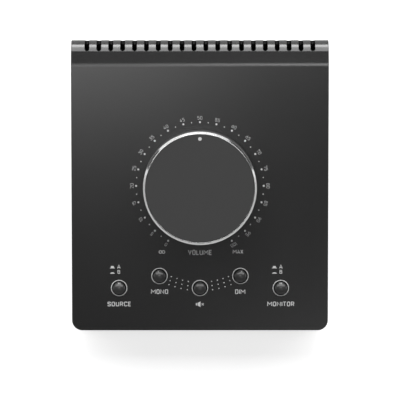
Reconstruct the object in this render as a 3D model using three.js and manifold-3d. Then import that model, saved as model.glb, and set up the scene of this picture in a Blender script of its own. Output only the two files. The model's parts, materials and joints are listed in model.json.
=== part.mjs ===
// A desktop studio monitor controller: a sheet-metal wedge with one large volume knob, five
// latching push buttons, a vented rear bend and a row of balanced sockets on the back.
// Millimetres, +Z up, +X to the right, the front towards -Y. The origin is on the desk, under
// the middle of the case.
import * as THREE from "three";
import { mergeVertices } from "three/addons/utils/BufferGeometryUtils.js";
import Module from "manifold-3d";

const wasm = await Module();
wasm.setup();

// Clearances shared by all pieces
const seatGap = 0.3; // between a piece and the face it rests on
const slipGap = 0.2; // radial play of a round piece in its hole
const cutOverrun = 4; // how far a cutter runs past the face it opens

// Folded cover
const coverSheet = 2;
const coverSideOverhang = 2; // past the tray on each side
const panelSlopeAngle = 10;
const panelLength = 138; // sloping face, front lip to crease
const creaseRadius = 14;
const bandLength = 6; // level strip behind the crease
const bendRadius = 6.5; // outside of the rear bend
const skirtLength = 5; // below the rear bend
const skirtAboveNuts = 0.6;
const frontCornerRadius = 5.4;

// Slots through the rear bend
const ventPitch = 6.18;
const ventWidth = 2.4;
const ventFromSide = 8.3; // middle of the first slot to the cover's side
const ventSetback = 0.4; // start of the bend to the slot's front end
const ventDrop = 1.5; // slot's lower end below the bend

// Clinched blocks under the cover that take the side screws
const blockWidth = 7;
const blockLength = 9;
const blockHeight = 8;
const blockBite = 0.5; // how far the block is pressed into the sheet
const frontBlockFromTray = 0.7; // block to the tray's front wall
const rearBlockFromBoard = 6.4; // block to the socket board

// Lower tray
const traySheet = 1.2;
const trayBendRadius = 2; // outside of the folds
const lipOverhang = 7; // cover's front edge past the tray's front wall

// Rubber feet
const footHeight = 4;
const footTopRadius = 6;
const footBottomRadius = 5.2;
const footChamfer = 0.6;
const footFromSide = 13; // foot's middle to the tray's side
const footFromTrayFront = 13;
const footFromTrayRear = 15.7;

// Pan head screws
const screwRadius = 1.45;
const screwHeadRadius = 2.7;
const screwHeadHeight = 1.5;
const screwHeadDome = 0.6;
const sideScrewLength = 8;
const boardScrewLength = 6;
const rearScrewLength = 5;

// Rear panel, an L-shaped plate
const rearSheet = 1.5;
const rearPanelSideGap = 0.4; // to the tray's side wall
const rearPanelBelowVents = 0.8;
const rearFlangeLength = 12;
const rearScrewFromPanel = 7;

// Volume knob
const knobFromFront = 76;
const knobLift = 1.2; // knob's lower edge above the panel
const knobHeight = 15.8;
const knobBaseRadius = 29.5;
const knobWall = 2.4;
const knobFaceThickness = 3;
const knobEdgeRound = 0.5;
const knobHubRadius = 6.5;
const knobRibCount = 6;
const knobRibThickness = 1.5;
const knobRibDepth = 4;
const knobTaper = 0.1; // smaller at the rim than at the base

// Bright-cut rim ring, seated in a rebate round the knob's face
const rimWidth = 1.4;
const rimDepth = 2.6;
const rimChamfer = 1.3;

// Pointer, a round inlay in the knob's face
const pointerRadius = 0.95;
const pointerFromRim = 2.4; // its middle to the rim's inner edge
const pointerDepth = 0.8;

// Potentiometer
const potWidth = 22;
const potLength = 25;
const potHeight = 11.7;
const potCornerCut = 3;
const bushingRadius = 4.5;
const bushingRise = 7; // above the panel
const shaftRadius = 3;
const shaftFlatDepth = 1.5;
const shaftCover = 2.4; // left of the knob's face over the shaft's end
const shaftSink = 9; // below the panel
const washerRadius = 8;
const washerThickness = 0.8;
const nutAcrossFlats = 12;
const nutThickness = 2.5;

// Control board
const boardThickness = 1.6;
const boardFromBlock = 2.5; // board's side to the clinched blocks
const boardFromTrayFront = 7;
const boardFromSocketBoard = 20.5; // room for the ribbon cable
const standoffAcrossFlats = 5.5;
const standoffFromSide = 8; // its middle to the board's side
const standoffFromFront = 46;
const tappedDepth = 7;

// Push buttons, in a row across the panel with every second one a step further back
const buttonPitch = 21.15;
const buttonRowFromFront = 22.3;
const buttonRowStep = 6.35;
const capRadius = 3.15;
const capPlay = 0.5; // cap to the edge of its hole
const capRise = 2; // cap's straight side above the panel
const capCrown = 1.2; // dome above that
const buttonTravel = 2.5;
const switchSide = 8.5;
const switchHeight = 7.8;
const plungerSide = 3.8;
const plungerEngagement = 3.5; // in the housing at rest
const postSide = 2.6;
const postReach = 4; // into the cap

// Rear sockets, a round one and a jack above it in each column, named from left to right as
// seen from behind
const socketColumns = ["input_left", "input_right", "output_left", "output_right"];
const socketSpacing = 2.5; // between two flanges
const socketFromWall = 10.05; // outer flange to the tray's side wall
const socketFromFlange = 0.5; // above the rear panel's flange
const socketFromJack = 0.8;
const socketBackWall = 4.8; // behind the jack's bore
const roundSocketProud = 0.8;
const roundSocketWall = 2.2;
const socketFlangeMargin = 0.7;
const socketFlangeThickness = 3;
const socketFlangeCorner = 2;
const plugShellWidth = 1.6; // room for a round plug's shell
const mouthDepth = 15.5;
const coreWall = 1.55; // outside the contacts
const contactWall = 0.5; // between a contact and the jack bore
const pinCount = 3;
const pinRadius = 1.15;
const pinLength = 12.5;
const pinTip = 0.7;
const keyWidth = 3;
const keyHeight = 1.1;
const jackBoreRadius = 3.25;
const jackBoreDepth = 19;
const jackBushingWall = 1.25;
const jackBushingReach = 2;
const jackBodyWidth = 13;
const jackBodyMargin = 0.1; // body above and below the nut
const jackBodyCorner = 1;
const jackNutWall = 1.1;
const jackNutThickness = 1.6;
const jackNutNotchCount = 6;
const jackNutNotch = 0.5;

// Socket board and the ribbon cable to the control board
const socketBoardFromWall = 2.8;
const socketBoardFromFloor = 2.5;
const socketBoardAboveJack = 1;
const plugWidth = 24;
const plugThickness = 6;
const plugHeight = 6.5;
const controlPlugFromEdge = 11; // its middle to the control board's rear edge
const socketPlugFromEdge = 8; // its middle to the socket board's lower edge
const ribbonInset = 2; // plug's end to the ribbon's edge
const ribbonThickness = 0.9;
const ribbonFall = 11; // how far each end runs straight before it turns
const ribbonSteps = 12;

// Facets of round pieces
const smallSides = 8;
const mediumSides = 16;
const largeSides = 24;
const knobSides = 60;
const bendSteps = 4; // an arc in an outline gets twice as many
const domeSteps = 4;

const slope = THREE.MathUtils.degToRad(panelSlopeAngle);
const quarterTurn = Math.PI / 2;

// Rear sockets' radii, from the jack's bore outwards
const pinCircleRadius = jackBoreRadius + contactWall + slipGap + pinRadius;
const coreRadius = pinCircleRadius + pinRadius + slipGap + coreWall;
const mouthRadius = coreRadius + plugShellWidth;
const roundSocketRadius = mouthRadius + roundSocketWall;
const socketFlangeSide = 2 * (roundSocketRadius + socketFlangeMargin);
const socketPitch = socketFlangeSide + socketSpacing;
const jackBushingRadius = jackBoreRadius + jackBushingWall;
const jackNutRadius = jackBushingRadius + jackNutWall;
const jackBodyHeight = 2 * (jackNutRadius + jackBodyMargin);

// Front view of the case: its width follows the row of sockets
const trayInnerWidth =
  (socketColumns.length - 1) * socketPitch + socketFlangeSide + 2 * socketFromWall;
const trayWidth = trayInnerWidth + 2 * traySheet;
const coverWidth = trayWidth + 2 * coverSideOverhang;
const blockOuterX = trayInnerWidth / 2 - seatGap;
const boardWidth = 2 * (blockOuterX - blockWidth - boardFromBlock);
const standoffFromMiddle = boardWidth / 2 - standoffFromSide;

// Side view of the case: its height follows the sockets, stacked on the rear panel's flange
const trayBottomZ = footHeight + seatGap;
const trayFloorZ = trayBottomZ + traySheet;
const rearFlangeZ = trayFloorZ + seatGap;
const roundSocketZ = rearFlangeZ + rearSheet + socketFromFlange + socketFlangeSide / 2;
const jackZ = roundSocketZ + socketFlangeSide / 2 + socketFromJack + jackBodyHeight / 2;
const socketBoardBottom = trayFloorZ + socketBoardFromFloor;
const socketPlugZ = socketBoardBottom + socketPlugFromEdge;
const bendZ = jackZ + jackNutRadius + skirtAboveNuts + skirtLength;
const rearHeight = bendZ + bendRadius;
const caseDepth =
  panelLength * Math.cos(slope) + creaseRadius * Math.sin(slope) + bandLength + bendRadius;
const frontY = -caseDepth / 2;
const rearY = caseDepth / 2;
const lipZ =
  rearHeight - panelLength * Math.sin(slope) - creaseRadius * (1 - Math.cos(slope));
const bendY = rearY - bendRadius;
const creaseY = bendY - bandLength;
const trayFrontY = frontY + lipOverhang;
const trayRearY = rearY - coverSheet - seatGap;
const rearPanelY = trayRearY;
const rearScrewY = rearPanelY - rearSheet - rearScrewFromPanel;

// Depths behind the rear panel's outer face
const socketFront = -rearSheet - seatGap;
const socketBack = jackBushingReach - jackBoreDepth - socketBackWall;
const mouthFloor = roundSocketProud - mouthDepth;
const socketBoardRearY = rearPanelY + socketBack - seatGap;
const socketBoardFrontY = socketBoardRearY - boardThickness;

// Heights of the control board's pieces, along the panel's normal from its outer face
const boardFace = -(coverSheet + seatGap + potHeight + seatGap);
const boardUnderside = boardFace - boardThickness;
const switchTop = boardFace + seatGap + switchHeight;
const capBottom = switchTop + buttonTravel + seatGap;
const blockUnderside = -coverSheet - blockHeight;
const knobTop = knobLift + knobHeight;
const shaftReach = knobTop - shaftCover;

// Distances from the front lip along the panel, of things set against upright walls
const boardFront = panelDistanceAt(trayFrontY + boardFromTrayFront, boardUnderside);
const boardRear = panelDistanceAt(socketBoardFrontY - boardFromSocketBoard, boardUnderside);
const controlPlugMiddle = boardRear - controlPlugFromEdge;
const blockPlaces = {
  front: panelDistanceAt(trayFrontY + traySheet + frontBlockFromTray, 0) + blockLength / 2,
  rear:
    panelDistanceAt(socketBoardFrontY - rearBlockFromBoard, blockUnderside) - blockLength / 2,
};
const blockScrewDepth = coverSheet + blockHeight / 2;

// Knob's radii
const rimOuterRadius = knobBaseRadius - knobTaper;
const rimInnerRadius = rimOuterRadius - rimWidth;
const pointerFromCentre = rimInnerRadius - pointerFromRim;

const materials = {
  paintedSteel: finish("#3b3b3c", 0.42, 0.35),
  blackSteel: finish("#1d1d1e", 0.5, 0.35),
  softTouch: finish("#434343", 0.75, 0),
  brightCut: finish("#d9d9d9", 0.18, 1),
  paleInk: finish("#a8a8a8", 0.6, 0),
  glossBlack: finish("#262627", 0.15, 0),
  blackPlastic: finish("#161617", 0.45, 0),
  greyPlastic: finish("#5a5c60", 0.55, 0),
  nickel: finish("#b9b6ae", 0.25, 1),
  zincSteel: finish("#9c9fa2", 0.35, 1),
  blackScrew: finish("#202020", 0.35, 0.8),
  boardGreen: finish("#1d4a33", 0.4, 0),
  rubber: finish("#141414", 0.9, 0),
  ribbonGrey: finish("#8d9094", 0.6, 0),
};

function finish(colour, roughness, metalness) {
  return new THREE.MeshStandardMaterial({ color: colour, roughness, metalness });
}

// A closed geometry as a solid that can be cut and joined.
function solid(geometry) {
  const bare = geometry.index ? geometry.toNonIndexed() : geometry.clone();
  bare.deleteAttribute("normal");
  bare.deleteAttribute("uv");
  const merged = mergeVertices(bare);
  return new wasm.Manifold(
    new wasm.Mesh({
      numProp: 3,
      vertProperties: merged.attributes.position.array,
      triVerts: new Uint32Array(merged.index.array),
    }),
  );
}

// The solid's faces as a flat-shaded geometry.
function geometryOf(body) {
  const { vertProperties, triVerts } = body.getMesh();
  const geometry = new THREE.BufferGeometry();
  geometry.setAttribute("position", new THREE.BufferAttribute(vertProperties, 3));
  geometry.setIndex(new THREE.BufferAttribute(triVerts, 1));
  const faceted = geometry.toNonIndexed();
  faceted.computeVertexNormals();
  return faceted;
}

function join(...geometries) {
  return geometryOf(geometries.map(solid).reduce((whole, piece) => whole.add(piece)));
}

function cut(geometry, ...cutters) {
  const rest = cutters.reduce((left, cutter) => left.subtract(solid(cutter)), solid(geometry));
  return geometryOf(rest);
}

function common(first, second) {
  return geometryOf(solid(first).intersect(solid(second)));
}

// A box between two corners.
function block([x0, y0, z0], [x1, y1, z1]) {
  return new THREE.BoxGeometry(x1 - x0, y1 - y0, z1 - z0).translate(
    (x0 + x1) / 2,
    (y0 + y1) / 2,
    (z0 + z1) / 2,
  );
}

// A profile of [radius, height] pairs turned about +Z. It runs anticlockwise, so it faces out.
function turned(profile, sides) {
  const points = profile.map(([radius, height]) => new THREE.Vector2(radius, height));
  return new THREE.LatheGeometry(points, sides).rotateX(quarterTurn);
}

function post(radius, bottom, top, sides = mediumSides) {
  return turned([[0, bottom], [radius, bottom], [radius, top], [0, top]], sides);
}

function ring(inner, outer, bottom, top, sides = mediumSides) {
  const profile = [[inner, bottom], [outer, bottom], [outer, top], [inner, top], [inner, bottom]];
  return turned(profile, sides);
}

// An outline in X and Y raised along Z.
function raised(shape, bottom, top) {
  const options = { depth: top - bottom, bevelEnabled: false, curveSegments: bendSteps };
  return new THREE.ExtrudeGeometry(shape, options).translate(0, 0, bottom);
}

// An outline in Y and Z drawn out along X, centred on the middle plane.
function acrossX(shape, width) {
  const turn = new THREE.Matrix4().makeBasis(
    new THREE.Vector3(0, 1, 0),
    new THREE.Vector3(0, 0, 1),
    new THREE.Vector3(1, 0, 0),
  );
  return raised(shape, -width / 2, width / 2).applyMatrix4(turn);
}

// An outline in X and Z drawn out along Y, from one place to another.
function alongY(shape, from, to) {
  return raised(shape, -to, -from).rotateX(quarterTurn);
}

function roundedRectangle(x0, y0, x1, y1, radius) {
  const shape = new THREE.Shape();
  shape.moveTo(x0 + radius, y0);
  shape.lineTo(x1 - radius, y0);
  shape.absarc(x1 - radius, y0 + radius, radius, -quarterTurn, 0, false);
  shape.lineTo(x1, y1 - radius);
  shape.absarc(x1 - radius, y1 - radius, radius, 0, quarterTurn, false);
  shape.lineTo(x0 + radius, y1);
  shape.absarc(x0 + radius, y1 - radius, radius, quarterTurn, Math.PI, false);
  shape.lineTo(x0, y0 + radius);
  shape.absarc(x0 + radius, y0 + radius, radius, Math.PI, 3 * quarterTurn, false);
  return shape;
}

function hexagon(acrossFlats) {
  const corner = acrossFlats / 2 / Math.cos(Math.PI / 6);
  const corners = Array.from({ length: 6 }, (_, i) => {
    const angle = (i * Math.PI) / 3;
    return new THREE.Vector2(corner * Math.cos(angle), corner * Math.sin(angle));
  });
  return new THREE.Shape(corners);
}

// Where a point of the sloping panel lies in the side view: distance from the front lip, and
// height above the panel's outer face.
function panelPoint(fromFront, above) {
  return [
    frontY + fromFront * Math.cos(slope) - above * Math.sin(slope),
    lipZ + fromFront * Math.sin(slope) + above * Math.cos(slope),
  ];
}

// How far along the panel a place in the side view lies, at a height above the outer face.
function panelDistanceAt(y, above) {
  return (y - frontY + above * Math.sin(slope)) / Math.cos(slope);
}

// The panel's own frame: X across, Y back along the slope from the lip, Z out of the panel.
const panelMatrix = new THREE.Matrix4()
  .makeTranslation(0, frontY, lipZ)
  .multiply(new THREE.Matrix4().makeRotationX(slope));

function onPanel(geometry) {
  return geometry.applyMatrix4(panelMatrix);
}

// The crease at a depth below the cover's outer face: its two ends and the corner it rounds.
function creasePoints(depth) {
  const panelEnd = panelPoint(panelLength, -depth);
  const corner = [creaseY - (creaseRadius - depth) * Math.tan(slope / 2), rearHeight - depth];
  return { panelEnd, corner, bandEnd: [creaseY, rearHeight - depth] };
}

// Continues an outline back along the cover at a depth below its outer face.
function followCover(shape, depth) {
  const { panelEnd, corner, bandEnd } = creasePoints(depth);
  shape.lineTo(...panelEnd);
  shape.quadraticCurveTo(...corner, ...bandEnd);
  shape.absarc(bendY, bendZ, bendRadius - depth, quarterTurn, 0, true);
}

// The cover's section: out along the top to the skirt's lower edge, and back inside it.
function coverSection() {
  const { panelEnd, corner, bandEnd } = creasePoints(coverSheet);
  const shape = new THREE.Shape();
  shape.moveTo(...panelPoint(0, 0));
  followCover(shape, 0);
  shape.lineTo(rearY, bendZ - skirtLength);
  shape.lineTo(rearY - coverSheet, bendZ - skirtLength);
  shape.absarc(bendY, bendZ, bendRadius - coverSheet, 0, quarterTurn, false);
  shape.lineTo(...bandEnd);
  shape.quadraticCurveTo(...corner, ...panelEnd);
  shape.lineTo(...panelPoint(0, -coverSheet));
  return shape;
}

function coverPlan() {
  const half = coverWidth / 2;
  const shape = new THREE.Shape();
  shape.moveTo(-half, caseDepth + cutOverrun);
  shape.lineTo(-half, frontCornerRadius);
  shape.absarc(
    -half + frontCornerRadius, frontCornerRadius, frontCornerRadius, Math.PI, 3 * quarterTurn,
  );
  shape.absarc(
    half - frontCornerRadius, frontCornerRadius, frontCornerRadius, 3 * quarterTurn, 4 * quarterTurn,
  );
  shape.lineTo(half, caseDepth + cutOverrun);
  return shape;
}

// One slot's cutter: it opens the bend from above and from behind, with round ends.
function ventCutter(x) {
  const radius = ventWidth / 2;
  const front = bendY + ventSetback + radius;
  const low = bendZ - ventDrop + radius;
  const top = rearHeight + cutOverrun;
  const back = rearY + cutOverrun;
  const slot = block([x - radius, front, low], [x + radius, back, top]);
  const frontEnd = post(radius, low, top, smallSides).translate(x, front, 0);
  const lowerEnd = post(radius, front, back, smallSides).rotateX(-quarterTurn).translate(x, 0, low);
  return join(slot, frontEnd, lowerEnd);
}

function inARow(count, pitch) {
  return Array.from({ length: count }, (_, i) => (i - (count - 1) / 2) * pitch);
}

const sides = { left: -1, right: 1 };

function coverGeometry() {
  const plan = onPanel(raised(coverPlan(), -caseDepth, caseDepth));
  let cover = common(acrossX(coverSection(), coverWidth), plan);
  const blocks = [];
  const taps = [];
  for (const side of Object.values(sides)) {
    for (const fromFront of Object.values(blockPlaces)) {
      const middle = side * (blockOuterX - blockWidth / 2);
      const low = [middle - blockWidth / 2, fromFront - blockLength / 2];
      const high = [middle + blockWidth / 2, fromFront + blockLength / 2];
      blocks.push(onPanel(block([...low, blockUnderside], [...high, blockBite - coverSheet])));
      const tap = post(screwRadius + slipGap, -blockWidth, blockWidth, smallSides);
      taps.push(onPanel(tap.rotateY(quarterTurn).translate(middle, fromFront, -blockScrewDepth)));
    }
  }
  cover = join(cover, ...blocks);
  const reach = coverSheet + cutOverrun;
  const bushingHole = post(bushingRadius + slipGap, -reach, cutOverrun).translate(0, knobFromFront, 0);
  const capHoles = buttonPlaces.map(([x, y]) =>
    post(capRadius + capPlay, -reach, cutOverrun).translate(x, y, 0),
  );
  const ventCount = 1 + Math.round((coverWidth - 2 * ventFromSide) / ventPitch);
  const vents = inARow(ventCount, ventPitch).map(ventCutter);
  return cut(cover, ...taps, onPanel(bushingHole), ...capHoles.map(onPanel), ...vents);
}

// The space under the cover, from the tray's front wall to the skirt, down to a floor.
function traySide() {
  const depth = coverSheet + seatGap;
  const shape = new THREE.Shape();
  shape.moveTo(trayRearY, trayBottomZ);
  shape.lineTo(trayFrontY + trayBendRadius, trayBottomZ);
  shape.absarc(
    trayFrontY + trayBendRadius, trayBottomZ + trayBendRadius, trayBendRadius,
    3 * quarterTurn, Math.PI, true,
  );
  shape.lineTo(trayFrontY, panelHeightAt(trayFrontY, depth));
  followCover(shape, depth);
  return shape;
}

// The height of the cover's underside over a place in the side view.
function panelHeightAt(y, depth) {
  return lipZ + (y - frontY) * Math.tan(slope) - depth / Math.cos(slope);
}

function trayGeometry() {
  const half = trayWidth / 2;
  const high = rearHeight + cutOverrun;
  const end = (width, floor, radius) => {
    const outline = roundedRectangle(-width / 2, floor, width / 2, high, radius);
    return alongY(outline, trayFrontY - cutOverrun, trayRearY + 2 * cutOverrun);
  };
  const innerRadius = trayBendRadius - traySheet;
  const outside = common(acrossX(traySide(), trayWidth), end(trayWidth, trayBottomZ, trayBendRadius));
  const hollow = acrossX(
    roundedRectangle(
      trayFrontY + traySheet, trayFloorZ, trayRearY + 2 * cutOverrun, high, innerRadius,
    ),
    trayInnerWidth,
  );
  const inside = common(hollow, end(trayInnerWidth, trayFloorZ, innerRadius));
  const hole = (radius) => post(radius + slipGap, -cutOverrun, cutOverrun, smallSides);
  const sideHoles = Object.values(blockPlaces).flatMap((fromFront) => {
    const [y, z] = panelPoint(fromFront, -blockScrewDepth);
    return Object.values(sides).map((side) =>
      hole(screwRadius).rotateY(quarterTurn).translate(side * half, y, z),
    );
  });
  const floorHoles = Object.values(sides).map((side) =>
    hole(screwRadius).translate(side * socketPitch, rearScrewY, trayBottomZ),
  );
  return cut(outside, inside, ...sideHoles, ...floorHoles);
}

function rearPanelGeometry() {
  const half = trayInnerWidth / 2 - rearPanelSideGap;
  const top = bendZ - ventDrop - rearPanelBelowVents;
  const plate = block([-half, rearPanelY - rearSheet, rearFlangeZ], [half, rearPanelY, top]);
  const flange = block(
    [-half, rearPanelY - rearSheet - rearFlangeLength, rearFlangeZ],
    [half, rearPanelY - rearSheet / 2, rearFlangeZ + rearSheet],
  );
  const opening = (radius, x, z, count) =>
    post(radius + slipGap, -cutOverrun, cutOverrun, count)
      .rotateX(-quarterTurn)
      .translate(x, rearPanelY, z);
  const holes = inARow(socketColumns.length, socketPitch).flatMap((x) => [
    opening(roundSocketRadius, x, roundSocketZ, largeSides),
    opening(jackBushingRadius, x, jackZ, mediumSides),
  ]);
  const taps = Object.values(sides).map((side) =>
    post(screwRadius + slipGap, -cutOverrun, cutOverrun, smallSides)
      .translate(side * socketPitch, rearScrewY, rearFlangeZ),
  );
  return cut(join(plate, flange), ...holes, ...taps);
}

function footGeometry() {
  const profile = [
    [0, 0],
    [footBottomRadius - footChamfer, 0],
    [footBottomRadius, footChamfer],
    [footTopRadius, footHeight],
    [0, footHeight],
  ];
  return turned(profile, mediumSides);
}

// A pan head screw along +Z, its head resting on the plane at zero.
function screwGeometry(length) {
  const profile = [
    [0, -length],
    [screwRadius, -length],
    [screwRadius, 0],
    [screwHeadRadius, 0],
    [screwHeadRadius, screwHeadHeight - screwHeadDome],
    [screwHeadRadius - screwHeadDome, screwHeadHeight],
    [0, screwHeadHeight],
  ];
  return turned(profile, smallSides);
}

// The knob: a hollow turned shell with a hub, ribs under the face and a rebate for the rim.
function knobGeometry() {
  const rebateRadius = rimInnerRadius - slipGap;
  const rebateFloor = knobTop - rimDepth - seatGap;
  const ceiling = knobTop - knobFaceThickness;
  const cavityRadius = knobBaseRadius - knobWall;
  const hubBottom = bushingRise + seatGap;
  const shell = turned(
    [
      [0, hubBottom],
      [knobHubRadius, hubBottom],
      [knobHubRadius, ceiling],
      [cavityRadius - knobEdgeRound, ceiling],
      [cavityRadius, ceiling - knobEdgeRound],
      [cavityRadius, knobLift],
      [knobBaseRadius - knobEdgeRound, knobLift],
      [knobBaseRadius, knobLift + knobEdgeRound],
      [rimOuterRadius, rebateFloor],
      [rebateRadius, rebateFloor],
      [rebateRadius, knobTop],
      [0, knobTop],
    ],
    knobSides,
  );
  const ribs = Array.from({ length: knobRibCount }, (_, i) =>
    block(
      [knobHubRadius - knobRibThickness, -knobRibThickness / 2, ceiling - knobRibDepth],
      [(cavityRadius + rebateRadius) / 2, knobRibThickness / 2, ceiling + knobFaceThickness / 2],
    ).rotateZ((i * 2 * Math.PI) / knobRibCount),
  );
  const bore = cut(
    post(shaftRadius + slipGap, hubBottom - cutOverrun, shaftReach + seatGap),
    flatCutter(hubBottom - 2 * cutOverrun, slipGap),
  );
  const pointerSeat = post(
    pointerRadius + slipGap, knobTop - pointerDepth - seatGap, knobTop + cutOverrun, smallSides,
  ).translate(0, pointerFromCentre, 0);
  return cut(join(shell, ...ribs), bore, pointerSeat);
}

// What the D-shaped end takes off the round shaft, from a height up, with a gap to its flat.
function flatCutter(bottom, gap) {
  return block(
    [-shaftRadius - cutOverrun, shaftRadius - shaftFlatDepth + gap, bottom],
    [shaftRadius + cutOverrun, shaftRadius + cutOverrun, shaftReach + cutOverrun],
  );
}

function rimGeometry() {
  const bottom = knobTop - rimDepth;
  const profile = [
    [rimInnerRadius, bottom],
    [rimOuterRadius, bottom],
    [rimOuterRadius, knobTop - rimChamfer],
    [rimOuterRadius - rimChamfer, knobTop],
    [rimInnerRadius, knobTop],
    [rimInnerRadius, bottom],
  ];
  return turned(profile, knobSides);
}

function potGeometry() {
  const top = -coverSheet - seatGap;
  const bottom = top - potHeight;
  const [w, l] = [potWidth / 2, potLength / 2];
  const housing = raised(
    new THREE.Shape([
      new THREE.Vector2(-w, -l),
      new THREE.Vector2(w, -l),
      new THREE.Vector2(w, l - potCornerCut),
      new THREE.Vector2(w - potCornerCut, l),
      new THREE.Vector2(-w + potCornerCut, l),
      new THREE.Vector2(-w, l - potCornerCut),
    ]),
    bottom,
    top,
  );
  const bushing = post(bushingRadius, top - potHeight / 2, bushingRise);
  const bore = post(shaftRadius + slipGap, -shaftSink - seatGap, bushingRise + cutOverrun);
  return cut(join(housing, bushing), bore);
}

function shaftGeometry() {
  return cut(post(shaftRadius, -shaftSink, shaftReach), flatCutter(bushingRise, 0));
}

function nutGeometry() {
  const bottom = 2 * seatGap + washerThickness;
  const bore = post(bushingRadius + slipGap, 0, bottom + nutThickness + cutOverrun);
  return cut(raised(hexagon(nutAcrossFlats), bottom, bottom + nutThickness), bore);
}

function controlBoardGeometry() {
  const board = block(
    [-boardWidth / 2, boardFront, boardUnderside],
    [boardWidth / 2, boardRear, boardFace],
  );
  const holes = Object.values(sides).map((side) =>
    post(screwRadius + slipGap, boardFace - cutOverrun, boardFace + cutOverrun, smallSides)
      .translate(side * standoffFromMiddle, standoffFromFront, 0),
  );
  return cut(board, ...holes);
}

function standoffGeometry() {
  const bottom = boardFace + seatGap;
  const tap = post(screwRadius + slipGap, bottom - cutOverrun, bottom + tappedDepth, smallSides);
  return cut(raised(hexagon(standoffAcrossFlats), bottom, -coverSheet - seatGap), tap);
}

// Where each button stands on the panel: X, and the distance from the front lip.
const buttonNames = ["source", "mono", "mute", "dim", "speaker"];
const buttonPlaces = inARow(buttonNames.length, buttonPitch).map((x, i) => {
  const step = i % 2 === 0 ? 0 : buttonRowStep;
  return [x, buttonRowFromFront + step];
});

function squarePrism(side, bottom, top) {
  return block([-side / 2, -side / 2, bottom], [side / 2, side / 2, top]);
}

// A cap with a domed top, a quarter ellipse in section, and a square socket for the plunger.
function capGeometry() {
  const dome = Array.from({ length: domeSteps + 1 }, (_, i) => {
    const angle = (i / domeSteps) * quarterTurn;
    const radius = i === domeSteps ? 0 : capRadius * Math.cos(angle);
    return [radius, capRise + capCrown * Math.sin(angle)];
  });
  const cap = turned([[0, capBottom], [capRadius, capBottom], ...dome], mediumSides);
  const socket = squarePrism(
    postSide + 2 * slipGap, capBottom - cutOverrun, capBottom + postReach + seatGap,
  );
  return cut(cap, socket);
}

function plungerGeometry() {
  const shoulder = capBottom - seatGap;
  return join(
    squarePrism(plungerSide, switchTop - plungerEngagement, shoulder),
    squarePrism(postSide, shoulder - postSide / 2, capBottom + postReach),
  );
}

function switchGeometry() {
  const pocketFloor = switchTop - plungerEngagement - buttonTravel - seatGap;
  return cut(
    squarePrism(switchSide, boardFace + seatGap, switchTop),
    squarePrism(plungerSide + 2 * seatGap, pocketFloor, switchTop + cutOverrun),
  );
}

// The outside of a round socket: a boss through the panel and a square flange behind it.
function roundSocketBody() {
  const half = socketFlangeSide / 2;
  const flange = roundedRectangle(-half, -half, half, half, socketFlangeCorner);
  return join(
    post(roundSocketRadius, socketBack, roundSocketProud, largeSides),
    raised(flange, socketFront - socketFlangeThickness, socketFront),
  );
}

function pinPlaces() {
  return Array.from({ length: pinCount }, (_, i) => {
    const angle = quarterTurn + (i * 2 * Math.PI) / pinCount;
    return [pinCircleRadius * Math.cos(angle), pinCircleRadius * Math.sin(angle)];
  });
}

// Input socket's housing: a cup for a round plug's shell, with a key way, round the core's jack
// bore, which goes on into the cup's floor.
function comboSocketGeometry() {
  const open = roundSocketProud + cutOverrun;
  const cup = post(mouthRadius, mouthFloor, open, largeSides);
  const keyWay = block(
    [-keyWidth / 2, -mouthRadius - keyHeight, mouthFloor],
    [keyWidth / 2, -coreRadius, open],
  );
  const bore = post(jackBoreRadius, roundSocketProud - jackBoreDepth, open);
  return cut(roundSocketBody(), cup, keyWay, bore);
}

// Input socket's core: three contact holes round the jack bore.
function comboCoreGeometry() {
  const bottom = mouthFloor + seatGap;
  const contacts = pinPlaces().map(([x, y]) =>
    post(pinRadius + slipGap, roundSocketProud - pinLength, roundSocketProud + cutOverrun, smallSides)
      .translate(x, y, 0),
  );
  const core = ring(jackBoreRadius, coreRadius, bottom, roundSocketProud, largeSides);
  return cut(core, ...contacts);
}

// Output socket: an open cup with three pins and a key rib.
function plugSocketGeometry() {
  const cup = post(mouthRadius, mouthFloor, roundSocketProud + cutOverrun, largeSides);
  const pins = pinPlaces().map(([x, y]) =>
    turned(
      [
        [0, mouthFloor - pinRadius],
        [pinRadius, mouthFloor - pinRadius],
        [pinRadius, mouthFloor + pinLength - pinTip],
        [pinRadius - pinTip, mouthFloor + pinLength],
        [0, mouthFloor + pinLength],
      ],
      smallSides,
    ).translate(x, y, 0),
  );
  const key = block(
    [-keyWidth / 2, -mouthRadius - keyHeight, mouthFloor - keyHeight],
    [keyWidth / 2, keyHeight - mouthRadius, -keyHeight],
  );
  return join(cut(roundSocketBody(), cup), ...pins, key);
}

function jackGeometry() {
  const [w, h] = [jackBodyWidth / 2, jackBodyHeight / 2];
  const body = raised(roundedRectangle(-w, -h, w, h, jackBodyCorner), socketBack, socketFront);
  const bushing = post(jackBushingRadius, (socketFront + socketBack) / 2, jackBushingReach);
  const boreFloor = jackBushingReach - jackBoreDepth;
  return cut(join(body, bushing), post(jackBoreRadius, boreFloor, jackBushingReach + cutOverrun));
}

// A round nut with grip notches cut across its rim.
function jackNutGeometry() {
  const top = seatGap + jackNutThickness;
  const nut = ring(jackBushingRadius + slipGap, jackNutRadius, seatGap, top);
  const notches = Array.from({ length: jackNutNotchCount }, (_, i) =>
    block(
      [jackNutRadius - jackNutNotch, -jackNutNotch, top - jackNutThickness / 2],
      [jackNutRadius + cutOverrun, jackNutNotch, top + cutOverrun],
    ).rotateZ((i * 2 * Math.PI) / jackNutNotchCount),
  );
  return cut(nut, ...notches);
}

function socketBoardGeometry() {
  const half = trayInnerWidth / 2 - socketBoardFromWall;
  const top = jackZ + jackBodyHeight / 2 + socketBoardAboveJack;
  return block(
    [-half, socketBoardFrontY, socketBoardBottom],
    [half, socketBoardRearY, top],
  );
}

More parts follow.
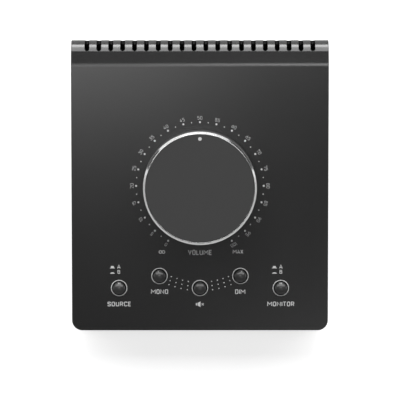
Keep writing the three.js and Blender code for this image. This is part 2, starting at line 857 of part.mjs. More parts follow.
// The ribbon cable: a thin strip that falls from the control board's plug and turns back to
// the socket board's plug, as one smooth curve in the side view.
function ribbonGeometry() {
  const fall = boardUnderside - seatGap - plugHeight - seatGap;
  const start = new THREE.Vector2(...panelPoint(controlPlugMiddle, fall));
  const startTurn = new THREE.Vector2(...panelPoint(controlPlugMiddle, fall - ribbonFall));
  const endY = socketBoardFrontY - seatGap - plugHeight - seatGap;
  const end = new THREE.Vector2(endY, socketPlugZ);
  const endTurn = new THREE.Vector2(endY - ribbonFall, socketPlugZ);
  const curve = new THREE.CubicBezierCurve(start, startTurn, endTurn, end);
  const side = (offset) =>
    Array.from({ length: ribbonSteps + 1 }, (_, i) => {
      const along = curve.getTangent(i / ribbonSteps);
      return curve
        .getPoint(i / ribbonSteps)
        .add(new THREE.Vector2(-along.y, along.x).multiplyScalar(offset));
    });
  const outline = [...side(-ribbonThickness / 2), ...side(ribbonThickness / 2).reverse()];
  return acrossX(new THREE.Shape(outline), plugWidth - 2 * ribbonInset);
}

function add(group, name, geometry, material, place = [0, 0, 0]) {
  const mesh = new THREE.Mesh(geometry, material);
  mesh.name = name;
  mesh.position.set(...place);
  group.add(mesh);
  return mesh;
}

function buildCase(root) {
  add(root, "top_cover", coverGeometry(), materials.paintedSteel);
  add(root, "bottom_tray", trayGeometry(), materials.blackSteel);
  add(root, "rear_panel", rearPanelGeometry(), materials.blackSteel);
  const footRows = { front: trayFrontY + footFromTrayFront, rear: trayRearY - footFromTrayRear };
  for (const [sideName, side] of Object.entries(sides)) {
    for (const [rowName, y] of Object.entries(footRows)) {
      const x = side * (trayWidth / 2 - footFromSide);
      add(root, `foot_${rowName}_${sideName}`, footGeometry(), materials.rubber, [x, y, 0]);
    }
    const rearScrew = add(
      root, `rear_panel_screw_${sideName}`, screwGeometry(rearScrewLength), materials.blackScrew,
      [side * socketPitch, rearScrewY, trayBottomZ - seatGap],
    );
    rearScrew.rotation.x = Math.PI;
  }
}

function buildSideScrews(panel) {
  for (const [sideName, side] of Object.entries(sides)) {
    for (const [rowName, fromFront] of Object.entries(blockPlaces)) {
      const screw = add(
        panel, `cover_screw_${rowName}_${sideName}`, screwGeometry(sideScrewLength),
        materials.blackScrew,
        [side * (trayWidth / 2 + seatGap), fromFront, -blockScrewDepth],
      );
      screw.rotation.y = side * quarterTurn;
    }
  }
}

function buildVolume(panel) {
  const spindle = new THREE.Group();
  spindle.position.y = knobFromFront;
  panel.add(spindle);
  add(spindle, "knob_body", knobGeometry(), materials.softTouch);
  add(spindle, "knob_rim", rimGeometry(), materials.brightCut);
  const inlay = post(pointerRadius, knobTop - pointerDepth, knobTop, smallSides);
  add(spindle, "knob_pointer", inlay, materials.paleInk, [0, pointerFromCentre, 0]);
  add(spindle, "pot_housing", potGeometry(), materials.zincSteel);
  add(spindle, "pot_shaft", shaftGeometry(), materials.nickel);
  const washer = ring(bushingRadius + slipGap, washerRadius, seatGap, seatGap + washerThickness);
  add(spindle, "pot_washer", washer, materials.zincSteel);
  add(spindle, "pot_nut", nutGeometry(), materials.nickel);
}

function buildControls(panel) {
  add(panel, "control_board", controlBoardGeometry(), materials.boardGreen);
  buttonNames.forEach((name, i) => {
    const place = [...buttonPlaces[i], 0];
    add(panel, `button_${name}`, capGeometry(), materials.glossBlack, place);
    add(panel, `switch_plunger_${name}`, plungerGeometry(), materials.greyPlastic, place);
    add(panel, `switch_housing_${name}`, switchGeometry(), materials.blackPlastic, place);
  });
  for (const [sideName, side] of Object.entries(sides)) {
    const place = [side * standoffFromMiddle, standoffFromFront, 0];
    add(panel, `board_standoff_${sideName}`, standoffGeometry(), materials.nickel, place);
    const screw = add(
      panel, `board_screw_${sideName}`, screwGeometry(boardScrewLength), materials.zincSteel,
      [place[0], place[1], boardUnderside - seatGap],
    );
    screw.rotation.x = Math.PI;
  }
  const plugTop = boardUnderside - seatGap;
  const plug = block(
    [-plugWidth / 2, controlPlugMiddle - plugThickness / 2, plugTop - plugHeight],
    [plugWidth / 2, controlPlugMiddle + plugThickness / 2, plugTop],
  );
  add(panel, "ribbon_plug_control", plug, materials.blackPlastic);
}

function buildSockets(root) {
  const places = inARow(socketColumns.length, socketPitch);
  socketColumns.forEach((column, i) => {
    const x = -places[i];
    const lower = new THREE.Group();
    lower.position.set(x, rearPanelY, roundSocketZ);
    const upper = new THREE.Group();
    upper.position.set(x, rearPanelY, jackZ);
    for (const group of [lower, upper]) {
      group.rotation.x = -quarterTurn;
      root.add(group);
    }
    if (column.startsWith("input")) {
      add(lower, `combo_socket_${column}`, comboSocketGeometry(), materials.blackPlastic);
      add(lower, `combo_core_${column}`, comboCoreGeometry(), materials.blackPlastic);
    } else {
      add(lower, `plug_socket_${column}`, plugSocketGeometry(), materials.blackPlastic);
    }
    add(upper, `jack_${column}`, jackGeometry(), materials.blackPlastic);
    add(upper, `jack_nut_${column}`, jackNutGeometry(), materials.nickel);
  });
  add(root, "socket_board", socketBoardGeometry(), materials.boardGreen);
  add(root, "ribbon_cable", ribbonGeometry(), materials.ribbonGrey);
  const plugRear = socketBoardFrontY - seatGap;
  const plug = block(
    [-plugWidth / 2, plugRear - plugHeight, socketPlugZ - plugThickness / 2],
    [plugWidth / 2, plugRear, socketPlugZ + plugThickness / 2],
  );
  add(root, "ribbon_plug_sockets", plug, materials.blackPlastic);
}

const controller = new THREE.Group();
const panelGroup = new THREE.Group();
panelGroup.position.set(0, frontY, lipZ);
panelGroup.rotation.x = slope;
controller.add(panelGroup);
buildCase(controller);
buildSideScrews(panelGroup);
buildVolume(panelGroup);
buildControls(panelGroup);
buildSockets(controller);

export default controller;
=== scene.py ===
"""Looks of a desktop studio monitor controller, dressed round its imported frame.

The cover is one folded steel sheet with a powder coat, the volume knob is a soft-touch shell with
a bright-cut ring, and five glossy caps stand in the panel. Sizes are in millimetres and are
turned to metres where a mesh is made. Places come from the frame's joints and nodes.
"""

from __future__ import annotations

import json
import logging
from dataclasses import dataclass, field
from enum import Enum
from itertools import product
from typing import Any, Callable, Sequence

import bpy
import numpy as np
from mathutils import Matrix, Vector
from mathutils.geometry import delaunay_2d_cdt

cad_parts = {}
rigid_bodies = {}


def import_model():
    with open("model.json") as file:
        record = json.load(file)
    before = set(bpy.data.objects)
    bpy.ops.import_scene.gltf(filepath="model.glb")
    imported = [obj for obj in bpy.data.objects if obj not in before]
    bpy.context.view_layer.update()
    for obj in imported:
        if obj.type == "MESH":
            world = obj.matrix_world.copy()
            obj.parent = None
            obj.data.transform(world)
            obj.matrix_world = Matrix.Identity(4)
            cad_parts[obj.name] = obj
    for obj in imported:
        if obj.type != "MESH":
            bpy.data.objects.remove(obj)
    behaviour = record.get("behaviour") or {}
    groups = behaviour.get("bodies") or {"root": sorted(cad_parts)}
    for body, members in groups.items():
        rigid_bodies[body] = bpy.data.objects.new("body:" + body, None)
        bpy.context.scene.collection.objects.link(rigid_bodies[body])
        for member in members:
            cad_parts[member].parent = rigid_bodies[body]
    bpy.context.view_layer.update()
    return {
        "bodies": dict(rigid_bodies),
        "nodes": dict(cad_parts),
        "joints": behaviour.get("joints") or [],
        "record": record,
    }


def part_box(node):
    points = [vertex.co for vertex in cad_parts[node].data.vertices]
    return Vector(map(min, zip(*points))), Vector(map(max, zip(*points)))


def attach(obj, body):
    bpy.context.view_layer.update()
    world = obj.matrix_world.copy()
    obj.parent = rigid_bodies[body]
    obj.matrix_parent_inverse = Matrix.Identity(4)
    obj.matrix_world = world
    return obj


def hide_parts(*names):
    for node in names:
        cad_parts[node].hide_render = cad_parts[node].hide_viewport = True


MM = 0.001
CORNER_STEPS = 5
FINEST_ROUGHNESS = 0.02
# Scale of a slow drift, as a coat or a moulding has over a few centimetres.
DRIFT_SCALE = 40.0
# The Mix node numbers its colour sockets so.
FIRST_COLOUR, SECOND_COLOUR, MIXED_COLOUR = 6, 7, 2
# A fold of the mesh that is sharper than this keeps a crisp edge.
SHARP_ANGLE = np.radians(38.0)
# Turns a pair of coordinates to the other side of the middle.
MIRROR = np.array([-1.0, 1.0])
log = logging.getLogger("monitor_controller")

Array = np.ndarray
Frame = dict[str, Any]


# Colours and node trees


def linear(colour: str, alpha: float = 1.0) -> tuple[float, float, float, float]:
    """Turns a colour given as #rrggbb to linear red, green, blue and alpha from 0 to 1."""
    channels = np.array([int(colour[i : i + 2], 16) for i in (1, 3, 5)]) / 255.0
    low = channels / 12.92
    high = ((channels + 0.055) / 1.055) ** 2.4
    red, green, blue = np.where(channels <= 0.04045, low, high).tolist()
    return red, green, blue, alpha


def node(
    tree: bpy.types.NodeTree,
    kind: str,
    inputs: dict[Any, Any] | None = None,
    out: int | str = 0,
    **settings: Any,
) -> bpy.types.NodeSocket | None:
    """Adds one shader node with its settings and links.

    Args:
        tree: The tree that gets the node.
        kind: The node's type without its ShaderNode prefix.
        inputs: A value or a linked output for each named or numbered input.
        out: Name or number of the output that is wanted.
        **settings: The node's own options.

    Returns:
        That output, or none where the node has no output.
    """
    made = tree.nodes.new(f"ShaderNode{kind}")
    for option, value in settings.items():
        setattr(made, option, value)
    for key, value in (inputs or {}).items():
        if isinstance(value, bpy.types.NodeSocket):
            tree.links.new(value, made.inputs[key])
        else:
            made.inputs[key].default_value = value
    return made.outputs[out] if made.outputs else None


# Finishes


class Slot(Enum):
    """The record's material slots."""

    PAINTED_STEEL = "painted_steel"
    BLACK_STEEL = "black_steel"
    SOFT_TOUCH = "soft_touch"
    BRIGHT_CUT = "bright_cut"
    PALE_INK = "pale_ink"
    GLOSS_BLACK = "gloss_black"
    BLACK_PLASTIC = "black_plastic"
    GREY_PLASTIC = "grey_plastic"
    NICKEL = "nickel"
    ZINC_STEEL = "zinc_steel"
    BLACK_SCREW = "black_screw"
    BOARD_GREEN = "board_green"
    RUBBER = "rubber"
    RIBBON_GREY = "ribbon_grey"


class Grain(Enum):
    """How the surface was made, which sets the form of its fine pattern."""

    PEBBLED = "pebbled"
    TURNED = "turned"
    BRUSHED = "brushed"
    RIBBED = "ribbed"


@dataclass(frozen=True)
class Finish:
    """One real material with the way its surface was made.

    Attributes:
        name: Common name of the material and its process.
        slot: The record's slot that the finish belongs to.
        colour: Main sRGB colour.
        second: sRGB colour that the pattern mixes in.
        roughness: Mean roughness.
        spread: How far the pattern moves the roughness up and down.
        grain: Form of the pattern.
        grain_mm: Real size of one grain, groove or rib.
        relief_mm: Height of the pattern.
        metallic: 1 for bare metal, 0 for the rest.
        ior: Refractive index, which a bare metal leaves alone.
    """

    name: str
    slot: Slot
    colour: str
    second: str
    roughness: float
    spread: float = 0.03
    grain: Grain = Grain.PEBBLED
    grain_mm: float = 0.5
    relief_mm: float = 0.004
    metallic: float = 0.0
    ior: float = 1.5

    def pattern(self, tree: bpy.types.NodeTree, place: Place) -> bpy.types.NodeSocket:
        """Draws the fine pattern on the object's own coordinates.

        Args:
            tree: The material's tree.
            place: Where a turned or ribbed pattern has its middle and axes.

        Returns:
            A factor from 0 to 1.
        """
        coords = node(tree, "TexCoord", out="Object")
        per_metre = 1.0 / (self.grain_mm * MM)
        if self.grain is Grain.PEBBLED:
            return node(tree, "TexNoise", {"Vector": coords, "Scale": per_metre, "Detail": 2.0})
        spot = {"Vector": coords, "Location": place.origin * MM, "Rotation": place.euler()}
        local = node(tree, "Mapping", spot, vector_type="TEXTURE")
        if self.grain is Grain.BRUSHED:
            drawn = node(tree, "Mapping", {"Vector": local, "Scale": (0.02, 1.0, 1.0)})
            return node(tree, "TexNoise", {"Vector": drawn, "Scale": per_metre, "Detail": 3.0})
        # Blender's wave repeats every 2 pi / 20 units at a scale of one.
        scale = per_metre * np.pi / 10.0
        return node(
            tree,
            "TexWave",
            {"Vector": local, "Scale": scale, "Distortion": 0.6, "Detail": 2.0},
            out="Fac",
            wave_type="RINGS" if self.grain is Grain.TURNED else "BANDS",
            rings_direction="Z",
            bands_direction="X",
        )

    def material(self, place: Place) -> bpy.types.Material:
        """Makes the node material.

        Args:
            place: Middle and axes of the pattern.

        Returns:
            The material, with colour, roughness and relief from the pattern.
        """
        made = bpy.data.materials.new(self.name)
        made.use_nodes = True
        tree = made.node_tree
        pattern = self.pattern(tree, place)
        coords = node(tree, "TexCoord", out="Object")
        drift = node(tree, "TexNoise", {"Vector": coords, "Scale": DRIFT_SCALE, "Detail": 1.0})
        colours = {
            "Factor": pattern,
            FIRST_COLOUR: linear(self.colour),
            SECOND_COLOUR: linear(self.second),
        }
        limits = {
            "Value": node(tree, "Math", {0: pattern, 1: drift}, operation="ADD"),
            "From Min": 0.4,
            "From Max": 1.6,
            "To Min": max(self.roughness - self.spread, FINEST_ROUGHNESS),
            "To Max": self.roughness + self.spread,
        }
        relief = {"Height": pattern, "Distance": self.relief_mm * MM, "Strength": 1.0}
        mixed = node(tree, "Mix", colours, out=MIXED_COLOUR, data_type="RGBA")
        inputs = tree.nodes["Principled BSDF"].inputs
        tree.links.new(mixed, inputs["Base Color"])
        tree.links.new(node(tree, "MapRange", limits), inputs["Roughness"])
        tree.links.new(node(tree, "Bump", relief), inputs["Normal"])
        inputs["Metallic"].default_value = self.metallic
        if not self.metallic:
            inputs["IOR"].default_value = self.ior
        return made


# Satin black powder coat, baked on steel: the beads flow out to a faint orange peel that breaks
# a reflection softly. Its dense pigments lift the index well above that of a clear resin.
POWDER_COAT = Finish(
    "powder_coated_steel", Slot.PAINTED_STEEL, "#161616", "#181818", 0.2, 0.01,
    grain_mm=0.6, relief_mm=0.0004, ior=1.8,
)
# Matte black powder coat of the tray and rear panel, a coarser wrinkle with less shine.
WRINKLE_COAT = Finish(
    "wrinkle_coated_steel", Slot.BLACK_STEEL, "#121212", "#181818", 0.6, 0.06,
    grain_mm=0.8, relief_mm=0.03,
)
# Soft-touch polyurethane lacquer sprayed over ABS: a dry, even, velvety grey.
SOFT_TOUCH = Finish(
    "soft_touch_lacquer", Slot.SOFT_TOUCH, "#393939", "#3b3b3b", 0.72, 0.04,
    grain_mm=0.35, relief_mm=0.003,
)
# Aluminium cut with a diamond tool: fine grooves round the axis and a mirror flash.
DIAMOND_CUT = Finish(
    "diamond_cut_aluminium", Slot.BRIGHT_CUT, "#e8e8e8", "#dcdcdc", 0.14, 0.015,
    grain=Grain.TURNED, grain_mm=0.25, relief_mm=0.0003, metallic=1.0,
)
# Screen-printed epoxy ink: flat, opaque, a little chalky.
PALE_INK = Finish(
    "screen_printed_ink", Slot.PALE_INK, "#d8d8d8", "#d2d2d2", 0.6, 0.05,
    grain_mm=0.3, relief_mm=0.001,
)
# Polished ABS caps from a mirror-finished mould.
GLOSSY_ABS = Finish(
    "polished_abs", Slot.GLOSS_BLACK, "#3a3a3a", "#3c3c3c", 0.19, 0.02,
    grain_mm=0.9, relief_mm=0.0003, ior=1.58,
)
# Glass-filled nylon, spark-eroded mould texture: socket bodies, switches and plugs.
FILLED_NYLON = Finish(
    "glass_filled_nylon", Slot.BLACK_PLASTIC, "#161616", "#1d1d1e", 0.48, 0.05,
    grain_mm=0.4, relief_mm=0.008,
)
# Acetal plungers: grey and slightly waxy.
ACETAL = Finish(
    "moulded_acetal", Slot.GREY_PLASTIC, "#57595d", "#606266", 0.42, 0.04,
    grain_mm=0.6, relief_mm=0.003,
)
# Nickel plate over turned brass: warm grey with fine tool marks.
NICKEL_PLATE = Finish(
    "nickel_plated_brass", Slot.NICKEL, "#bdb9b0", "#aeaaa1", 0.24, 0.05,
    grain=Grain.TURNED, grain_mm=0.3, relief_mm=0.002, metallic=1.0,
)
# Silver plate over turned brass, on the sockets' contacts.
SILVER_PLATE = Finish(
    "silver_plated_contact", Slot.NICKEL, "#cfcbc2", "#c2beb5", 0.2, 0.04,
    grain=Grain.TURNED, grain_mm=0.3, relief_mm=0.001, metallic=1.0,
)
# Bright zinc over pressed steel: cool grey with a rolled grain.
ZINC_PLATE = Finish(
    "zinc_plated_steel", Slot.ZINC_STEEL, "#a3a6a9", "#8f9295", 0.36, 0.06,
    grain=Grain.BRUSHED, grain_mm=0.3, relief_mm=0.002, metallic=1.0,
)
# Blackened zinc of the screws: dark metal with a dull sheen.
BLACK_ZINC = Finish(
    "black_zinc_steel", Slot.BLACK_SCREW, "#2a2a2b", "#1f1f20", 0.34, 0.05,
    grain_mm=0.3, relief_mm=0.002, metallic=1.0,
)
# Epoxy glass laminate under a green solder resist.
SOLDER_RESIST = Finish(
    "green_solder_resist", Slot.BOARD_GREEN, "#1b4a32", "#225a3c", 0.32, 0.06,
    grain=Grain.RIBBED, grain_mm=1.27, relief_mm=0.01,
)
# Moulded neoprene feet: near black, dry, fine matte texture.
NEOPRENE = Finish(
    "moulded_neoprene", Slot.RUBBER, "#141414", "#1b1b1b", 0.85, 0.05,
    grain_mm=0.5, relief_mm=0.02,
)
# Open-cell foam of the dust seal: its pores swallow nearly all the light.
# Near-black finish of painted shade under the slots: its low index keeps it from reflecting.
PAINTED_SHADE_BLACK = Finish(
    "painted_shade_black", Slot.RUBBER, "#060606", "#0a0a0a", 0.95, 0.03,
    grain_mm=0.6, relief_mm=0.04, ior=1.05,
)
# Flat PVC ribbon cable: one rib for each of its conductors, 1.27 mm apart.
RIBBON_PVC = Finish(
    "ribbed_pvc", Slot.RIBBON_GREY, "#9a9da1", "#7d8084", 0.4, 0.04,
    grain=Grain.RIBBED, grain_mm=1.27, relief_mm=0.2,
)


# Places and shapes


@dataclass(frozen=True)
class Place:
    """A place with its own axes, from which shapes are laid out.

    Attributes:
        origin: The place's zero point, in millimetres.
        axes: Its X, Y and Z directions as three rows.
    """

    origin: Array
    axes: Array = field(default_factory=lambda: np.eye(3))

    def at(self, u: Array | float, v: Array | float, w: Array | float = 0.0) -> Array:
        """Gives the frame's points at origin + u X + v Y + w Z, coordinates last."""
        local = np.stack(np.broadcast_arrays(u, v, w), axis=-1).astype(float)
        return self.origin + local @ self.axes

    def spot(self, point: Array) -> tuple[float, float]:
        """Returns how far a point lies along X and along Y."""
        across, along, _ = (self.axes @ (point - self.origin)).tolist()
        return across, along

    def moved(self, u: float, v: float, w: float = 0.0) -> Place:
        """Returns the same axes at another point."""
        return Place(self.at(u, v, w), self.axes)

    def turned(self, angle: float) -> Place:
        """Returns the place turned about its own Z, by radians."""
        c, s = np.cos(angle), np.sin(angle)
        turn = np.array([[c, s, 0.0], [-s, c, 0.0], [0.0, 0.0, 1.0]])
        return Place(self.origin, turn @ self.axes)

    def euler(self) -> tuple[float, float, float]:
        """Returns the axes as XYZ angles for a Mapping node."""
        return tuple(Matrix(self.axes.T.tolist()).to_euler("XYZ"))


class Shell:
    """Gathers surfaces, each a whole array of points, into one mesh."""

    def __init__(self) -> None:
        """Starts empty."""
        self.points: list[Array] = []
        self.faces: list[Array] = []
        self.count = 0

    def add(self, points: Array, *faces: Array) -> Shell:
        """Adds points, and faces that number them from zero.

        Args:
            points: Points with three coordinates last, in any array shape.
            *faces: Arrays of three or four corners each.

        Returns:
            This shell, so that another call can follow.
        """
        flat = points.reshape(-1, 3)
        self.points.append(flat)
        self.faces.extend(f + self.count for f in faces if len(f))
        self.count += len(flat)
        return self

    def lathe(
        self,
        place: Place,
        profile: Array,
        segments: int | Array,
        change: Callable[[Array, Array], tuple[Array, Array]] | None = None,
    ) -> Shell:
        """Turns a profile about the place's Z: (r cos a, r sin a, h) for each angle a.

        Args:
            place: Middle and axis of the turn.
            profile: Pairs of radius and height, anticlockwise, so that faces point out. It
                starts and ends on the axis, or ends where it starts.
            segments: Steps round the axis, or the angles themselves.
            change: Gives new radii and heights for the profile's rows at all the angles.

        Returns:
            This shell.
        """
        closed = bool(np.allclose(profile[0], profile[-1]))
        rows = profile[:-1] if closed else profile[1:-1]
        if isinstance(segments, int):
            angle = np.linspace(0.0, 2.0 * np.pi, segments, endpoint=False)
        else:
            angle, segments = segments, len(segments)
        radius, height = change(rows, angle) if change else (rows[:, :1], rows[:, 1:])
        points = place.at(radius * np.cos(angle), radius * np.sin(angle), height)
        quads = grid_quads(len(rows), segments, closed, True)
        if closed:
            return self.add(points, quads)
        poles = place.at(0.0, 0.0, profile[[0, -1], 1])
        column = np.arange(segments)
        after = (column + 1) % segments
        first, top = len(rows) * segments, (len(rows) - 1) * segments
        low, high = beside(first, after, column), beside(first + 1, column + top, after + top)
        return self.add(np.concatenate([points.reshape(-1, 3), poles]), quads, low, high)

    def prism(self, place: Place, outline: Array, bottom: float, top: float) -> Shell:
        """Raises a flat outline, anticlockwise and seen whole from its middle.

        Args:
            place: Where the outline lies.
            outline: Pairs of u and v.
            bottom: Height of the lower face.
            top: Height of the upper face.

        Returns:
            This shell.
        """
        count = len(outline)
        ring = np.arange(count)
        after = (ring + 1) % count
        rings = [place.at(outline[:, 0], outline[:, 1], h) for h in (bottom, top)]
        hubs = [place.at(*outline.mean(axis=0), h) for h in (bottom, top)]
        sides = beside(ring, after, after + count, ring + count)
        low = beside(2 * count, after, ring)
        high = beside(2 * count + 1, ring + count, after + count)
        return self.add(np.concatenate([*rings, hubs]), sides, low, high)

    def ribbon(self, place: Place, path: Array, width: float, bottom: float, top: float) -> Shell:
        """Draws a flat strip of even width along a path, with square ends.

        Each point of the path moves half the width along its mitred normal to either side.

        Args:
            place: Where the strip lies.
            path: Pairs of u and v.
            width: Full width of the strip.
            bottom: Height of the lower face.
            top: Height of the upper face.

        Returns:
            This shell.
        """
        steps = np.diff(path, axis=0)
        steps /= np.linalg.norm(steps, axis=1, keepdims=True)
        before = np.concatenate([steps[:1], steps])
        after = np.concatenate([steps, steps[-1:]])
        if np.allclose(path[0], path[-1]):
            before[0], after[-1] = steps[-1], steps[0]
        quarter_turn = np.array([[0.0, 1.0], [-1.0, 0.0]])
        normal, across = (before + after) @ quarter_turn, before @ quarter_turn
        mitre = np.maximum((normal * across).sum(axis=1, keepdims=True), 0.5)
        offset = normal / mitre * width / 2.0
        left, right = path + offset, path - offset
        sides = ((left, bottom), (right, bottom), (right, top), (left, top))
        section = np.stack([place.at(*side.T, height) for side, height in sides], axis=1)
        last = 4 * (len(path) - 1)
        ends = np.array([[3, 2, 1, 0], [last, last + 1, last + 2, last + 3]])
        quads = grid_quads(len(path), 4, False, True)
        return self.add(section, quads[:, ::-1], ends[:, ::-1])

    def piece(self, name: str, normals: Array | None = None) -> bpy.types.Object:
        """Makes the object, with its place in its mesh.

        Args:
            name: The object's name.
            normals: A direction for each point, where they are known exactly.

        Returns:
            The object, linked to the scene.
        """
        mesh = bpy.data.meshes.new(name)
        points = np.concatenate(self.points)
        corners = np.concatenate([f.ravel() for f in self.faces])
        sizes = np.concatenate([np.full(len(f), f.shape[1]) for f in self.faces])
        mesh.vertices.add(len(points))
        mesh.vertices.foreach_set("co", (points * MM).astype(np.float32).ravel())
        mesh.loops.add(len(corners))
        mesh.loops.foreach_set("vertex_index", corners.astype(np.int32))
        mesh.polygons.add(len(sizes))
        starts = np.concatenate([[0], np.cumsum(sizes)[:-1]]).astype(np.int32)
        mesh.polygons.foreach_set("loop_start", starts)
        mesh.update(calc_edges=True)
        mesh.validate()
        mesh.polygons.foreach_set("use_smooth", np.ones(len(sizes), dtype=bool))
        made = bpy.data.objects.new(name, mesh)
        bpy.context.scene.collection.objects.link(made)
        if normals is None:
            mesh.set_sharp_from_angle(angle=SHARP_ANGLE)
            made.modifiers.new("weighted", "WEIGHTED_NORMAL").keep_sharp = True
        else:
            mesh.normals_split_custom_set_from_vertices(normals)
        return made

    def settle(
        self,
        name: str,
        finish: Finish,
        place: Place,
        *replaced: str,
        body: str = "case",
        normals: Array | None = None,
    ) -> None:
        """Makes a finished piece and gives it its material, its body and its CAD nodes.

        Args:
            name: The piece's name.
            finish: Its finish.
            place: Middle and axes of the finish's pattern.
            *replaced: CAD nodes that it stands for.
            body: The body it moves with.
            normals: A direction for each point, where they are known exactly.
        """
        piece = self.piece(name, normals)
        piece.data.materials.append(finish.material(place))
        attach(piece, body)
        if replaced:
            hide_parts(*replaced)
        log.info("%s: %d points, %s", piece.name, len(piece.data.vertices), finish.name)


def beside(*parts: Array | float) -> Array:
    """Sets arrays, or plain numbers, beside each other as columns."""
    return np.stack(np.broadcast_arrays(*parts), axis=1)


def grid_quads(rows: int, columns: int, wrap_rows: bool, wrap_columns: bool) -> Array:
    """Numbers the four-cornered faces of a grid of points.

    Args:
        rows: Number of rows.
        columns: Number of columns.
        wrap_rows: Joins the last row to the first.
        wrap_columns: Joins the last column to the first.

    Returns:
        Four corners a face.
    """
    r = np.arange(rows if wrap_rows else rows - 1)[:, None]
    c = np.arange(columns if wrap_columns else columns - 1)[None, :]
    r_next, c_next = (r + 1) % rows, (c + 1) % columns
    corners = [r * columns + c, r * columns + c_next, r_next * columns + c_next, r_next * columns + c]
    return np.stack(np.broadcast_arrays(*corners), axis=-1).reshape(-1, 4)


def circle(angle: Array) -> Array:
    """Gives the points of a unit circle at some angles."""
    return beside(np.cos(angle), np.sin(angle))


def rounded(corners: Sequence[Sequence[float]]) -> Array:
    """Runs a path through corners, some of them rounded.

    A rounded corner is a quadratic curve, (1-t)^2 a + 2t(1-t) p + t^2 b, between the two points
    that lie its radius before and after the corner p.

    Args:
        corners: Pairs of coordinates. A third number is the corner's radius.

    Returns:
        The path's points.
    """
    t = np.linspace(0.0, 1.0, CORNER_STEPS + 1)[:, None]
    places = np.array([corner[:2] for corner in corners], dtype=float)
    path: list[Array] = []
    for i, corner in enumerate(corners):
        if len(corner) < 3:
            path.append(places[i : i + 1])
            continue
        into, out = places[i - 1] - places[i], places[(i + 1) % len(places)] - places[i]
        a = places[i] + into / np.linalg.norm(into) * corner[2]
        b = places[i] + out / np.linalg.norm(out) * corner[2]
        path.append((1 - t) ** 2 * a + 2 * t * (1 - t) * places[i] + t**2 * b)
    points = np.concatenate(path)
    moved = np.linalg.norm(np.diff(points, axis=0), axis=1) > 1e-6
    return points[np.concatenate([[True], moved])]


def ring_profile(inner: float, outer: float, low: float, high: float, bend: float = 0.0) -> Array:
    """Gives a ring's section, with its two upper corners rounded by a radius."""
    upper = [(outer, high, bend), (inner, high, bend)]
    return rounded([(inner, low), (outer, low), *upper, (inner, low)])


def rectangle(start: float, end: float, width: float, radius: float) -> Array:
    """Gives a rounded rectangle's outline from start to end along X, centred along Y."""
    half = width / 2.0
    corners = [(start, -half), (end, -half), (end, half), (start, half)]
    return rounded([(*corner, radius) for corner in corners])


def node_box(name: str) -> tuple[Array, Array]:
    """Returns the low and high corners of a node's box, in millimetres."""
    low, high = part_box(name)
    return np.array(low) / MM, np.array(high) / MM


# The folded cover


@dataclass(frozen=True)
class Loop:
    """An edge of the flat sheet: the outline, or a hole with straight sides and round ends.

    A point of the edge is anchor + direction (radius + side * inset), where the inset is its
    distance into the sheet.

    Attributes:
        anchors: Points that the edge is measured from.
        directions: Directions from the anchors to the edge.
        radius: Distance from the anchors to the edge.
        side: 1 where the sheet lies beyond the edge, -1 where it lies inside.
        rounding: Radius that softens the edge.
    """

    anchors: Array
    directions: Array
    radius: float
    side: int
    rounding: float

    def inset(self, distance: float) -> Array:
        """Returns the edge moved into the sheet by a distance."""
        return self.anchors + self.directions * (self.radius + self.side * distance)


